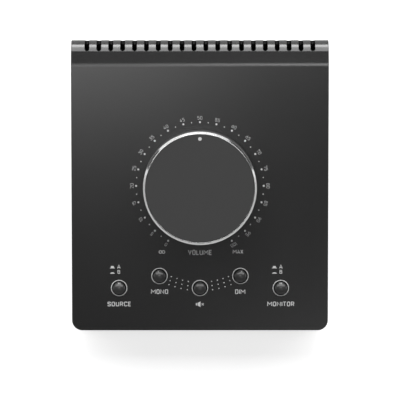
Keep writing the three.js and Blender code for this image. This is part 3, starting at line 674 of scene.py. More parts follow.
@dataclass
class FoldedCover:
    """The wedge's top: one sheet with its holes, creased and bent down at the rear."""

    panel: Place
    sheet: float = 2.0
    panel_length: float = 138.0
    slope: float = np.radians(10.0)
    crease_radius: float = 14.0
    band_length: float = 5.55
    roll_radius: float = 2.4
    roll_turn: float = np.radians(12.0)
    ease_radius: float = 11.4
    ease_turn: float = np.radians(16.0)
    bend_radius: float = 6.54
    skirt_length: float = 4.59
    front_corner_radius: float = 5.4
    rear_corner_radius: float = 0.6
    edge_round: float = 0.28
    vent_edge_round: float = 0.1
    vent_count: int = 20
    vent_pitch: float = 6.18
    vent_width: float = 2.4
    vent_setback: float = 0.25
    vent_drop: float = 1.09
    bushing_hole_radius: float = 4.7
    cap_hole_radius: float = 3.65

    def stretches(self) -> list[tuple[float, float, float]]:
        """Lists the sheet's stretches: where each starts, its length and how far it turns."""
        bend_turn = np.pi / 2.0 - self.roll_turn - self.ease_turn
        turns = [
            (self.panel_length, 0.0),
            (self.crease_radius * self.slope, self.slope),
            (self.band_length, 0.0),
            (self.roll_radius * self.roll_turn, self.roll_turn),
            (self.ease_radius * self.ease_turn, self.ease_turn),
            (self.bend_radius * bend_turn, bend_turn),
            (self.skirt_length, 0.0),
        ]
        starts = np.concatenate([[0.0], np.cumsum([length for length, _ in turns])])
        return [(start, *turn) for start, turn in zip(starts.tolist(), turns)]

    def fold(self, x: Array, s: Array, depth: Array) -> tuple[Array, Array, Array]:
        """Folds points of the flat sheet into the cover's shape.

        Going back along the sheet by s, the slope a falls evenly through each bend. A straight
        stretch of length t adds t (cos a, sin a) in the side view. A bend of radius R adds
        R (sin a - sin b, cos b - cos a), where b is the slope that it has reached.

        Args:
            x: Places across the sheet.
            s: Places along the sheet, from the front lip.
            depth: Distances below the outer face.

        Returns:
            The points, the directions along the sheet, and the outer face's normals.
        """
        y, z, slope = np.zeros_like(s), np.zeros_like(s), self.slope
        angle = np.full_like(s, self.slope)
        for start, length, turn in self.stretches():
            t = np.clip(s - start, 0.0, length)
            if turn:
                radius = length / turn
                reached = slope - t / radius
                y += radius * (np.sin(slope) - np.sin(reached))
                z += radius * (np.cos(reached) - np.cos(slope))
                angle -= t / radius
                slope -= turn
            else:
                y += t * np.cos(slope)
                z += t * np.sin(slope)
        flat = np.zeros_like(s)
        along = np.stack([flat, np.cos(angle), np.sin(angle)], axis=-1)
        normal = np.stack([flat, -np.sin(angle), np.cos(angle)], axis=-1)
        lip = self.panel.origin
        points = lip + np.stack([x, y, z], axis=-1) - depth[..., None] * normal
        return points, along, normal

    def levels(self) -> Array:
        """Returns the lines across the sheet that the bends need."""
        _, crease, band, roll, ease, bend, skirt = self.stretches()
        soft = np.linspace(crease[0], band[0], 8)
        tight = np.linspace(roll[0], ease[0], 5)[:-1]
        easy = np.linspace(ease[0], bend[0], 9)[:-1]
        return np.concatenate([soft, tight, easy, np.linspace(bend[0], skirt[0], 25)])

    def outline(self, levels: Array) -> Loop:
        """Returns the sheet's edge, anticlockwise, with its corners rounded."""
        half = node_box("top_cover")[1][0]
        length = sum(self.stretches()[-1][:2])
        front, rear = self.front_corner_radius, self.rear_corner_radius
        side = np.concatenate([np.linspace(front, levels[0], 10)[1:-1], levels])
        side = side[side < length - rear]
        bow = np.radians(np.linspace(-90.0, 0.0, 13))
        parts = [
            beside(bow, front, front),
            beside(0.0 * side, 0.0, side),
            beside(bow + np.pi / 2.0, rear, length - rear),
        ]
        turn, radius, along = np.concatenate(parts).T
        outward = circle(turn)
        right = beside(half - radius, along) + outward * radius[:, None]
        return Loop(
            np.concatenate([right, right[::-1] * MIRROR]),
            np.concatenate([outward, outward[::-1] * MIRROR]),
            0.0,
            -1,
            self.edge_round,
        )

    @staticmethod
    def hole(
        x: float, low: float, high: float, radius: float, rounding: float, levels: Array
    ) -> Loop:
        """Makes a hole's edge, anticlockwise.

        Args:
            x: Middle of the hole across the sheet.
            low: Middle of its lower round end along the sheet.
            high: Middle of its upper round end.
            radius: Half its width.
            rounding: Radius that softens its edge.
            levels: Lines across the sheet that the edge must have points on.

        Returns:
            The edge.
        """
        reach = radius + rounding
        crossing = levels[(levels > low - reach) & (levels < high + reach)]
        quarter = np.radians(np.linspace(0.0, 90.0, 13))
        below = np.arcsin((crossing[crossing < low] - low) / reach)
        above = np.arcsin((crossing[crossing > high] - high) / reach)
        inner = crossing[(crossing > low) & (crossing < high)]
        first = np.unique(np.concatenate([-quarter, below]))
        second = np.unique(np.concatenate([quarter, above]))[int(high == low) :]
        parts = [beside(first, low), beside(0.0 * inner, inner), beside(second, high)]
        turn, s = np.concatenate(parts).T
        anchors, directions = beside(x, s), circle(turn)
        back = slice(-2, 0, -1)
        return Loop(
            np.concatenate([anchors, anchors[back]]),
            np.concatenate([directions, directions[back] * MIRROR]),
            radius,
            1,
            rounding,
        )

    def vents(self, levels: Array) -> list[Loop]:
        """Returns the slots through the rear bend."""
        roll, skirt = self.stretches()[3], self.stretches()[-1]
        radius = self.vent_width / 2.0
        low = roll[0] + self.vent_setback + radius
        high = skirt[0] + self.vent_drop - radius
        middles = (np.arange(self.vent_count) - (self.vent_count - 1) / 2.0) * self.vent_pitch
        soft = self.vent_edge_round
        return [self.hole(x, low, high, radius, soft, levels) for x in middles.tolist()]

    def level_lines(self, levels: Array, vents: list[Loop]) -> tuple[Array, Array]:
        """Lays lines across the sheet at each level, broken by the slots.

        Args:
            levels: Places of the lines along the sheet.
            vents: The slots.

        Returns:
            The ends of the lines as two arrays of points.
        """
        half = node_box("top_cover")[1][0] - self.edge_round
        reach = self.vent_width / 2.0 + self.vent_edge_round
        middles = np.array([vent.anchors[0, 0] for vent in vents])
        low, high = vents[0].anchors[:, 1].min(), vents[0].anchors[:, 1].max()
        starts, ends = [], []
        for s in levels.tolist():
            over = s - np.clip(s, low, high)
            cut = middles if abs(over) < reach else middles[:0]
            open_half = np.sqrt(max(reach**2 - over**2, 0.0))
            starts.append(beside(np.append(-half, cut + open_half), s))
            ends.append(beside(np.append(cut - open_half, half), s))
        return np.concatenate(starts), np.concatenate(ends)

    def build(self, knob_s: float, caps: dict[str, tuple[float, float]]) -> None:
        """Makes the cover.

        The flat face is cut into triangles between its edges and the level lines. One whose
        corners all lie on the same hole's edge fills the hole, so it is left out. Each edge
        turns in a quarter round from the face to the sheet's thickness and on to the inner
        face, and every point is then folded.

        Args:
            knob_s: How far up the panel the knob's axis goes through it.
            caps: Middle of each button's cap on the panel, across and along.
        """
        levels = self.levels()
        vents = self.vents(levels)
        rounds = [(0.0, knob_s, self.bushing_hole_radius)]
        rounds += [(x, s, self.cap_hole_radius) for x, s in caps.values()]
        loops = [self.outline(levels), *vents]
        loops += [self.hole(x, s, s, r, self.edge_round, levels[:0]) for x, s, r in rounds]
        edges_in = [loop.inset(loop.rounding) for loop in loops]
        starts, ends = self.level_lines(levels, vents)
        flat = np.concatenate([*edges_in, starts, ends])
        links, firsts, first = [], [], 0
        for edge in edges_in:
            ring = np.arange(len(edge)) + first
            links.append(beside(ring, np.roll(ring, -1)))
            firsts.append(first)
            first += len(edge)
        line = np.arange(len(starts)) + first
        links.append(beside(line, line + len(starts)))
        spots = [Vector(p) for p in flat.tolist()]
        made = delaunay_2d_cdt(spots, np.concatenate(links).tolist(), [], 0, 1e-4)
        triangles = np.array([min(kept) for kept in made[3]])[np.array(made[2])]
        owner = np.repeat(np.arange(len(loops) + 1), [*map(len, edges_in), 2 * len(starts)])
        owner = np.where(owner < len(loops), owner, 0)[triangles]
        in_hole = (owner[:, 0] > 0) & (owner == owner[:, :1]).all(axis=1)
        triangles = triangles[~in_hole]
        top, _, up = self.fold(*flat.T, np.zeros(len(flat)))
        bottom, _, _ = self.fold(*flat.T, np.full(len(flat), self.sheet))
        shell = Shell().add(top, triangles).add(bottom, triangles[:, ::-1])
        normals = [up, -up]
        for loop, first in zip(loops, firsts):
            self.add_wall(shell, normals, loop, first, len(flat))
        directions = np.concatenate(normals)
        shell.settle("top_cover_sheet", POWDER_COAT, self.panel, "top_cover", normals=directions)

    def add_wall(
        self, shell: Shell, normals: list[Array], loop: Loop, first: int, sheet_points: int
    ) -> None:
        """Adds the rounded wall of one edge, sewn to the two faces.

        At angle q of the rounding, the inset is e (1 - sin q), and the depth is e (1 - cos q)
        below the outer face, or the same above the inner face.

        Args:
            shell: The mesh that gets the wall.
            normals: The directions gathered so far.
            loop: The edge.
            first: Number of the edge's first point on the outer face.
            sheet_points: Number of points on each face.
        """
        e = loop.rounding
        quarter = np.radians(np.linspace(0.0, 90.0, 5))
        outer, inner = quarter[1:], quarter[:-1] + np.pi / 2.0
        q = np.concatenate([outer, inner])
        spots = np.stack([loop.inset(float(d)) for d in e * (1.0 - np.sin(q))])
        depth = np.concatenate([e * (1.0 - np.cos(outer)), self.sheet - e * (1.0 + np.cos(inner))])
        depth = np.repeat(depth[:, None], spots.shape[1], axis=1)
        points, along, up = self.fold(spots[..., 0], spots[..., 1], depth)
        outward = -loop.side * loop.directions[None]
        across = outward[..., :1] * np.array([1.0, 0.0, 0.0]) + outward[..., 1:] * along
        facing = np.cos(q)[:, None, None] * up + np.sin(q)[:, None, None] * across
        normals.append(facing.reshape(-1, 3))
        ring = np.arange(spots.shape[1])[None] + first
        wall = np.arange(depth.size).reshape(depth.shape) + shell.count
        rows = np.concatenate([ring, wall, ring + sheet_points])
        after = np.roll(rows, -1, axis=1)
        quads = np.stack([rows[:-1], rows[1:], after[1:], after[:-1]], axis=-1).reshape(-1, 4)
        shell.add(points, quads[:, :: -loop.side] - shell.count)


# The volume knob


@dataclass
class VolumeKnob:
    """A hollow turned shell, the bright ring in its rebate and the pointer inlay."""

    spindle: Place
    lift: float = 1.2
    top: float = 17.0
    base_radius: float = 29.5
    wall: float = 2.4
    face_thickness: float = 3.0
    edge_round: float = 0.5
    hub_radius: float = 6.5
    hub_bottom: float = 7.3
    bore_radius: float = 3.2
    bore_top: float = 14.9
    rim_outer: float = 29.4
    rim_inner: float = 28.0
    rim_depth: float = 2.6
    rim_chamfer: float = 1.08
    rim_land: float = 0.32
    rim_gap: float = 0.12
    pointer_radius: float = 0.95
    pointer_reach: float = 25.6
    pointer_depth: float = 0.8
    rib_count: int = 6
    rib_thickness: float = 1.5
    rib_depth: float = 4.0
    segments: int = 160
    pointer_segments: int = 32

    def build(self) -> None:
        """Makes the shell, the ring and the pointer."""
        self.shell()
        self.rim()
        self.pointer()

    def shell(self) -> None:
        """Turns the shell: hub, cavity, skirt, rebate and face."""
        cavity = self.base_radius - self.wall
        ceiling = self.top - self.face_thickness
        floor = self.top - self.rim_depth
        seat = self.rim_inner - self.rim_gap
        profile = [
            (0.0, self.bore_top),
            (self.bore_radius, self.bore_top),
            (self.bore_radius, self.hub_bottom),
            (self.hub_radius, self.hub_bottom, 0.3),
            (self.hub_radius, ceiling, 1.0),
            (cavity - self.edge_round, ceiling),
            (cavity, ceiling - self.edge_round),
            (cavity, self.lift),
            (self.base_radius, self.lift, self.edge_round),
            (self.rim_outer, floor, 0.15),
            (seat, floor),
            (seat, self.top, 0.15),
            (0.0, self.top),
        ]
        made = Shell().lathe(self.spindle, rounded(profile), self.segments)
        rib = rectangle(self.hub_radius - 0.5, cavity + 0.5, self.rib_thickness, 0.2)
        for angle in np.linspace(0.0, 2.0 * np.pi, self.rib_count, endpoint=False).tolist():
            turned = self.spindle.turned(angle)
            made.prism(turned, rib, ceiling - self.rib_depth, ceiling + 0.5)
        made.settle("knob_shell", SOFT_TOUCH, self.spindle, "knob_body", body="knob")

    def rim(self) -> None:
        """Turns the ring, with a slightly crowned chamfer."""
        bottom = self.top - self.rim_depth + self.rim_gap
        profile = [
            (self.rim_inner, bottom),
            (self.rim_outer, bottom, 0.1),
            (self.rim_outer, self.top - self.rim_chamfer, 0.25),
            (self.rim_inner + self.rim_land, self.top, 0.1),
            (self.rim_inner, self.top, 0.08),
            (self.rim_inner, bottom),
        ]
        made = Shell().lathe(self.spindle, rounded(profile), self.segments)
        made.settle("knob_rim_ring", DIAMOND_CUT, self.spindle, "knob_rim", body="knob")

    def pointer(self) -> None:
        """Turns the inlaid dot, flush with the face."""
        spot = self.spindle.moved(0.0, self.pointer_reach)
        bottom, top = self.top - self.pointer_depth, self.top + 0.02
        radius = self.pointer_radius
        profile = rounded([(0.0, bottom), (radius, bottom), (radius, top, 0.05), (0.0, top)])
        made = Shell().lathe(spot, profile, self.pointer_segments)
        made.settle("knob_pointer_dot", PALE_INK, self.spindle, "knob_pointer", body="knob")


# The push buttons


@dataclass
class PushCap:
    """One glossy domed cap."""

    name: str
    place: Place
    radius: float = 3.15
    bottom: float = -3.4
    rise: float = 1.8
    crown: float = 1.4
    socket: float = 1.7
    socket_top: float = 0.5
    segments: int = 64

    def build(self) -> None:
        """Turns the cap: a straight side under a top that is a piece of a ball.

        The ball's radius is half of (radius squared plus crown squared) over the crown.
        """
        ball = (self.radius**2 + self.crown**2) / (2.0 * self.crown)
        reach = self.radius * np.linspace(1.0, 0.0, 25)
        height = self.rise + self.crown - ball + np.sqrt(ball**2 - reach**2)
        side = [
            (0.0, self.socket_top),
            (self.socket, self.socket_top),
            (self.socket, self.bottom),
            (self.radius, self.bottom, 0.2),
            (self.radius, self.rise),
        ]
        profile = np.concatenate([rounded(side), beside(reach, height)])
        made = Shell().lathe(self.place, profile, self.segments)
        body = f"{self.name}_button"
        made.settle(f"cap_{self.name}", GLOSSY_ABS, self.place, f"button_{self.name}", body=body)


# The panel's print


class Glyphs:
    """A plain engraver's alphabet of even strokes, each letter one unit high.

    A letter has its width and its strokes, each a path whose corners may have a radius as a
    third number. W is a letter's usual width, H is half of it and R is the usual radius.
    """

    SPACE = 0.19
    W, H, R = 0.56, 0.28, 0.22
    RING = [(H, 0), (W, 0, R), (W, 1, R), (0, 1, R), (0, 0, R), (H, 0)]
    LETTERS: dict[str, tuple[float, list[list[tuple[float, ...]]]]] = {
        "0": (W, [RING]),
        "1": (0.28, [[(0, 0.76), (0.28, 1), (0.28, 0)]]),
        "2": (W, [[(0, 0.74), (0, 1, R), (W, 1, R), (W, 0.62, 0.2), (0, 0), (W, 0)]]),
        "3": (W, [[(0, 1), (W, 1), (W * 0.45, 0.6), (W, 0.6, 0.2), (W, 0, R), (0, 0, R),
                   (0, 0.22)]]),
        "4": (W, [[(W * 0.5, 1), (0, 0.26), (W, 0.26)], [(W * 0.74, 0.56), (W * 0.74, 0)]]),
        "5": (W, [[(W, 1), (0, 1), (0, 0.56), (W, 0.6, R), (W, 0, R), (0, 0, R), (0, 0.2)]]),
        "6": (W, [[(W * 0.72, 1), (0, 0.4), (0, 0.28)],
                  [(H, 0), (W, 0, R), (W, 0.6, R), (0, 0.6, R), (0, 0, R), (H, 0)]]),
        "7": (W, [[(0, 0.82), (0, 1), (W, 1), (W * 0.36, 0)]]),
        "8": (W, [[(H, 0), (W, 0, R), (W, 0.54, R), (0, 0.54, R), (0, 0, R), (H, 0)],
                  [(H, 0.54), (W * 0.94, 0.54, 0.2), (W * 0.94, 1, 0.2), (W * 0.06, 1, 0.2),
                   (W * 0.06, 0.54, 0.2), (H, 0.54)]]),
        "9": (W, [[(W * 0.28, 0), (W, 0.6), (W, 0.72)],
                  [(H, 0.4), (W, 0.4, R), (W, 1, R), (0, 1, R), (0, 0.4, R), (H, 0.4)]]),
        "A": (0.64, [[(0, 0), (0.32, 1), (0.64, 0)], [(0.09, 0.25), (0.55, 0.25)]]),
        "B": (W, [[(0, 0), (0, 1), (W * 0.95, 1, 0.22), (W * 0.95, 0.54, 0.2), (0, 0.54)],
                  [(W * 0.6, 0.54), (W, 0.54, 0.22), (W, 0, 0.24), (0, 0)]]),
        "C": (W, [[(W, 0.74), (W, 1, R), (0, 1, R), (0, 0, R), (W, 0, R), (W, 0.26)]]),
        "D": (W, [[(H, 0), (W, 0, R), (W, 1, R), (0, 1), (0, 0), (H, 0)]]),
        "E": (0.44, [[(0.44, 1), (0, 1), (0, 0), (0.44, 0)], [(0, 0.52), (0.38, 0.52)]]),
        "I": (0.0, [[(0, 1), (0, 0)]]),
        "L": (0.42, [[(0, 1), (0, 0), (0.42, 0)]]),
        "M": (0.92, [[(0, 0), (0, 1), (0.46, 0.42), (0.92, 1), (0.92, 0)]]),
        "N": (0.72, [[(0, 0), (0, 1), (0.72, 0), (0.72, 1)]]),
        "O": (W, [RING]),
        "R": (W, [[(0, 0), (0, 1), (W, 1, R), (W, 0.48, R), (0, 0.48)],
                  [(W * 0.55, 0.48), (W, 0)]]),
        "S": (W, [[(W, 0.78), (W, 1, R), (0, 1, R), (0, 0.56, 0.2), (W, 0.46, 0.2), (W, 0, R),
                   (0, 0, R), (0, 0.22)]]),
        "T": (0.52, [[(0, 1), (0.52, 1)], [(0.26, 1), (0.26, 0)]]),
        "U": (W, [[(0, 1), (0, 0, R), (W, 0, R), (W, 1)]]),
        "V": (0.62, [[(0, 1), (0.31, 0), (0.62, 1)]]),
        "X": (0.6, [[(0, 0), (0.6, 1)], [(0, 1), (0.6, 0)]]),
    }


@dataclass(kw_only=True)
class Printer:
    """Lays words, lines, patches and dots of ink on a face."""

    panel: Place
    ink: float = 0.03
    sink: float = 0.02
    stroke_share: float = 0.15
    dot_segments: int = 20
    shell: Shell = field(default_factory=Shell)

    def line(self, place: Place, path: Array, width: float) -> None:
        """Prints a line of even width along a path."""
        self.shell.ribbon(place, path, width, -self.sink, self.ink)

    def patch(self, place: Place, *corners: tuple[float, float]) -> None:
        """Prints a filled shape."""
        self.shell.prism(place, np.array(corners), -self.sink, self.ink)

    def dot(self, place: Place, radius: float) -> None:
        """Prints a round dot."""
        ends = [(0.0, -self.sink), (radius, -self.sink), (radius, self.ink), (0.0, self.ink)]
        self.shell.lathe(place, np.array(ends), self.dot_segments)

    def text(
        self,
        words: str,
        place: Place,
        height: float,
        width: float | None = None,
        share: float | None = None,
    ) -> None:
        """Prints a word, centred on its place.

        Args:
            words: The word.
            place: Its middle, with its baseline along X.
            height: Height of a capital, to the strokes' outer edges.
            width: Full width, or none for the letters' own.
            share: A stroke's share of the height, or none for the printer's own.
        """
        stroke = (share or self.stroke_share) * height
        tall = height - stroke
        glyphs = [Glyphs.LETTERS[letter] for letter in words]
        steps = np.cumsum([0.0] + [wide + Glyphs.SPACE + self.stroke_share for wide, _ in glyphs])
        own = float(steps[-1] - Glyphs.SPACE - self.stroke_share)
        stretch = 1.0 if width is None else (width - stroke) / (own * tall)
        for (_, strokes), step in zip(glyphs, steps.tolist()):
            for corners in strokes:
                path = rounded(corners) + [step - own / 2.0, -0.5]
                self.line(place, path * [tall * stretch, tall], stroke)


@dataclass(kw_only=True)
class PanelPrint(Printer):
    """Everything screen-printed on the sloping panel."""

    dial: tuple[float, float]
    caps: dict[str, tuple[float, float]]
    label_height: float = 2.35
    number_height: float = 1.75
    number_share: float = 0.08
    number_radius: float = 35.5
    dot_radius: float = 33.25
    large_dot: float = 0.52
    small_dot: float = 0.29
    sweep: float = 150.0
    ring_inner: float = 3.87
    ring_outer: float = 4.26
    ring_segments: int = 64
    thin_line: float = 0.34
    source_shift: float = -0.1
    no_signal_spot: tuple[float, float] = (-19.86, 41.34)
    mute_spot: tuple[float, float] = (-0.05, 13.8)
    field_radii: tuple[float, ...] = (50.55, 52.75, 54.95)
    field_angles: tuple[float, ...] = (6.9, 10.4, 13.9, 17.4)
    field_drift: float = 0.06

    def build(self) -> None:
        """Prints the scale, the labels, the signs and the buttons' rings."""
        self.scale()
        self.labels()
        self.selector(self.caps["source"][0] + self.source_shift)
        self.selector(self.caps["speaker"][0])
        self.infinity()
        self.mute_sign()
        self.dot_fields()
        self.shell.settle("panel_print", PALE_INK, self.panel)
        rings = Shell()
        section = ring_profile(self.ring_inner, self.ring_outer, -self.sink, self.ink)
        for x, s in self.caps.values():
            rings.lathe(self.panel.moved(x, s), section, self.ring_segments)
        rings.settle("button_rings", PALE_INK, self.panel)

    def scale(self) -> None:
        """Prints the dial's dots and numbers, three degrees to a unit."""
        centre = self.panel.moved(*self.dial)
        for unit, angle in enumerate(np.linspace(self.sweep, -self.sweep, 21).tolist()):
            turned = centre.turned(np.radians(angle))
            self.dot(turned.moved(0.0, self.dot_radius), self.large_dot)
            spot = turned.moved(0.0, self.number_radius)
            self.text(str(5 * unit), spot, self.number_height, share=self.number_share)
        last = self.sweep * 0.95
        for angle in np.linspace(last, -last, 20).tolist():
            turned = centre.turned(np.radians(angle))
            self.dot(turned.moved(0.0, self.dot_radius), self.small_dot)

    def labels(self) -> None:
        """Prints the words under the knob and the buttons."""
        for words, x, s, width, height, share in (
            ("VOLUME", 0.0, 41.1, 12.5, 1.17, 0.19),
            ("MAX", 19.86, 41.5, 5.4, 0.9, 0.15),
            ("SOURCE", -42.25, 13.95, 12.3, 1.04, 0.16),
            ("MONO", -21.15, 20.45, 8.95, 1.04, 0.16),
            ("DIM", 21.05, 20.4, 5.35, 1.04, 0.16),
            ("MONITOR", 42.25, 13.95, 14.1, 1.04, 0.16),
        ):
            spot = self.panel.moved(x, s)
            self.text(words, spot, self.label_height * height, width, share)

    def infinity(self) -> None:
        """Prints two linked rings for no signal."""
        place = self.panel.moved(*self.no_signal_spot)
        ring = 0.72 * circle(np.radians(np.linspace(0.0, 360.0, 21)))
        for x in (-0.78, 0.78):
            self.line(place, ring + [x, 0.0], self.thin_line)

    def selector(self, x: float) -> None:
        """Prints the pair of signs for a button that is out (A) and in (B)."""
        self.text("A", self.panel.moved(x, 33.6), 2.15, 1.75)
        self.text("B", self.panel.moved(x, 30.85), 2.0, 1.4)
        self.patch(
            self.panel.moved(x - 3.4, 33.35),
            *[(-1.3, -0.62), (1.3, -0.62), (1.3, -0.36), (0.78, -0.3), (0.74, 0.6)],
            *[(-0.74, 0.6), (-0.78, -0.3), (-1.3, -0.36)],
        )
        self.patch(
            self.panel.moved(x - 3.4, 30.35),
            *[(-1.3, -0.4), (1.3, -0.4), (0.8, 0.1), (0.3, 0.28), (-0.3, 0.28), (-0.8, 0.1)],
        )

    def mute_sign(self) -> None:
        """Prints a small loudspeaker with a cross beside it."""
        place = self.panel.moved(*self.mute_spot)
        self.patch(place, (-2.1, -0.6), (-1.45, -0.6), (-1.45, 0.6), (-2.1, 0.6))
        self.patch(place, (-1.2, -0.65), (0.35, -1.5), (0.35, 1.5), (-1.2, 0.65))
        for rise in (-0.55, 0.55):
            self.line(place, np.array([(0.9, -rise), (2.0, rise)]), self.thin_line)

    def dot_fields(self) -> None:
        """Prints the two fields of small dots that run towards the middle button."""
        centre = self.panel.moved(*self.dial)
        for radius, angle in product(self.field_radii, self.field_angles):
            reach = radius - self.field_drift * (angle - self.field_angles[0])
            for side in (-1.0, 1.0):
                turned = centre.turned(np.radians(180.0 + side * angle))
                self.dot(turned.moved(0.0, reach), self.small_dot)


# The rear, the sides and the underside


@dataclass
class RoundSocket:
    """One round socket: a boss through the rear panel, with a square flange behind it."""

    place: Place
    column: str
    proud: float = 0.8
    boss_radius: float = 11.8
    mouth_radius: float = 9.6
    mouth_floor: float = -14.7
    back: float = -21.8
    flange_side: float = 25.0
    flange_corner: float = 2.0
    flange_top: float = -1.8
    flange_thickness: float = 3.0
    edge_round: float = 0.45
    key_width: float = 3.0
    key_height: float = 1.1
    key_slope: float = 0.05
    key_clearance: float = 1.2
    wall_band: float = 0.05
    seam_overlap: float = 0.05
    pin_circle: float = 5.1
    pin_radius: float = 1.15
    pin_length: float = 12.5
    jack_bore: float = 3.25
    jack_bore_floor: float = -18.2
    core_face: float = 0.8
    contact_gap: float = 0.2
    collar_sink: float = 0.2
    collar_rise: float = 0.15
    sleeve_wall: float = 0.18
    sleeve_sink: float = 0.7
    sleeve_length: float = 10.0
    collar_width: float = 0.4
    segments: int = 96
    contact_segments: int = 32

    def housing(self, key: float, inner: list[tuple[float, ...]]) -> Shell:
        """Turns the boss and its cup, and adds the flange.

        Within the key's width, the radius of the cup's wall changes by the key's height.

        Args:
            key: Height of the key: above zero for a key way, below for a rib.
            inner: The profile's points from the cup's floor to the axis.

        Returns:
            The surfaces.
        """
        made, e = Shell(), self.edge_round
        rim = [(self.boss_radius, self.back, e), (self.boss_radius, self.proud, e)]
        mouth = (self.mouth_radius, self.proud, e)
        profile = rounded([(0.0, self.back), *rim, mouth, *inner])
        half = self.key_width / 2.0 / self.mouth_radius
        middle = 1.5 * np.pi
        slope = self.key_slope
        sides = middle + half * np.array([-1.0 - slope, -1.0 + slope, 1.0 - slope, 1.0 + slope])
        even = np.linspace(0.0, 2.0 * np.pi, self.segments, endpoint=False)
        clear = even[np.abs(even - middle) > half * self.key_clearance]
        angles = np.sort(np.concatenate([clear, sides]))

        def change(rows: Array, angle: Array) -> tuple[Array, Array]:
            """Moves the cup's wall in or out at the key."""
            at_key = np.abs(angle - middle) < half
            wall = np.abs(rows[:, :1] - self.mouth_radius) < self.wall_band
            below = rows[:, 1:] < self.proud - e
            radius = rows[:, :1] + key * (at_key & wall & below)
            return radius, np.broadcast_to(rows[:, 1:], radius.shape)

        made.lathe(self.place, profile, angles, change)
        self.flange(made)
        return made

    def flange(self, made: Shell) -> None:
        """Turns the flange round the boss, its outer wall drawn out to a rounded square.

        On a side, the reach is H / cos(a), with a from the side's middle. Round a corner it is
        k (cos(a) + sin(a)) + sqrt(k^2 (cos(a) + sin(a))^2 - 2 k^2 + c^2), where c is the corner's
        radius and k = H - c.
        """
        half, corner = self.flange_side / 2.0, self.flange_corner
        hub, k = self.boss_radius - self.seam_overlap, half - corner
        low, high = self.flange_top - self.flange_thickness, self.flange_top
        profile = ring_profile(hub, half, low, high)

        def square(rows: Array, angle: Array) -> tuple[Array, Array]:
            """Moves the outer wall out to the square."""
            a = np.abs((angle + np.pi / 4.0) % (np.pi / 2.0) - np.pi / 4.0)
            both = k * (np.cos(a) + np.sin(a))
            bend = both + np.sqrt(np.maximum(both**2 - 2.0 * k**2 + corner**2, 0.0))
            reach = np.where(half * np.tan(a) <= k, half / np.cos(a), bend)
            radius = np.where(rows[:, :1] > hub, reach, rows[:, :1])
            return radius, np.broadcast_to(rows[:, 1:], radius.shape)

        made.lathe(self.place, profile, 4 * self.segments, square)

    def contacts(self) -> list[Place]:
        """Returns the places of the three contacts, one towards the desk."""
        turns = np.radians([90.0, 210.0, 330.0])
        return [self.place.moved(*pair) for pair in self.pin_circle * circle(turns)]

    def output(self) -> None:
        """Makes an output socket, with its three pins."""
        e = self.edge_round
        inner = [(self.mouth_radius, self.mouth_floor, e), (0.0, self.mouth_floor)]
        made = self.housing(-self.key_height, inner)
        column = self.column
        made.settle(f"plug_shell_{column}", FILLED_NYLON, self.place, f"plug_socket_{column}")
        pins = Shell()
        radius = self.pin_radius
        bottom, top = self.mouth_floor - radius, self.mouth_floor + self.pin_length
        profile = rounded([(0.0, bottom), (radius, bottom), (radius, top, 0.85), (0.0, top)])
        for contact in self.contacts():
            pins.lathe(contact, profile, self.contact_segments)
        pins.settle(f"plug_pins_{column}", SILVER_PLATE, self.place)

    def input(self) -> None:
        """Makes an input socket's housing, and the collars and sleeves of its contacts."""
        made = self.housing(
            self.key_height,
            [
                (self.mouth_radius, self.mouth_floor, self.edge_round),
                (self.jack_bore, self.mouth_floor),
                (self.jack_bore, self.jack_bore_floor),
                (0.0, self.jack_bore_floor),
            ],
        )
        sleeves = Shell()
        hole = self.pin_radius + self.contact_gap
        low, high = self.core_face - self.collar_sink, self.core_face + self.collar_rise
        collar = ring_profile(hole, hole + self.collar_width, low, high, 0.12)
        face = self.core_face - self.sleeve_sink
        bore = hole - self.sleeve_wall
        sleeve = ring_profile(bore, hole, face - self.sleeve_length, face, 0.06)
        for contact in self.contacts():
            made.lathe(contact, collar, self.contact_segments)
            sleeves.lathe(contact, sleeve, self.contact_segments)
        column = self.column
        made.settle(f"combo_shell_{column}", FILLED_NYLON, self.place, f"combo_socket_{column}")
        sleeves.settle(f"contact_sleeves_{column}", SILVER_PLATE, self.place)


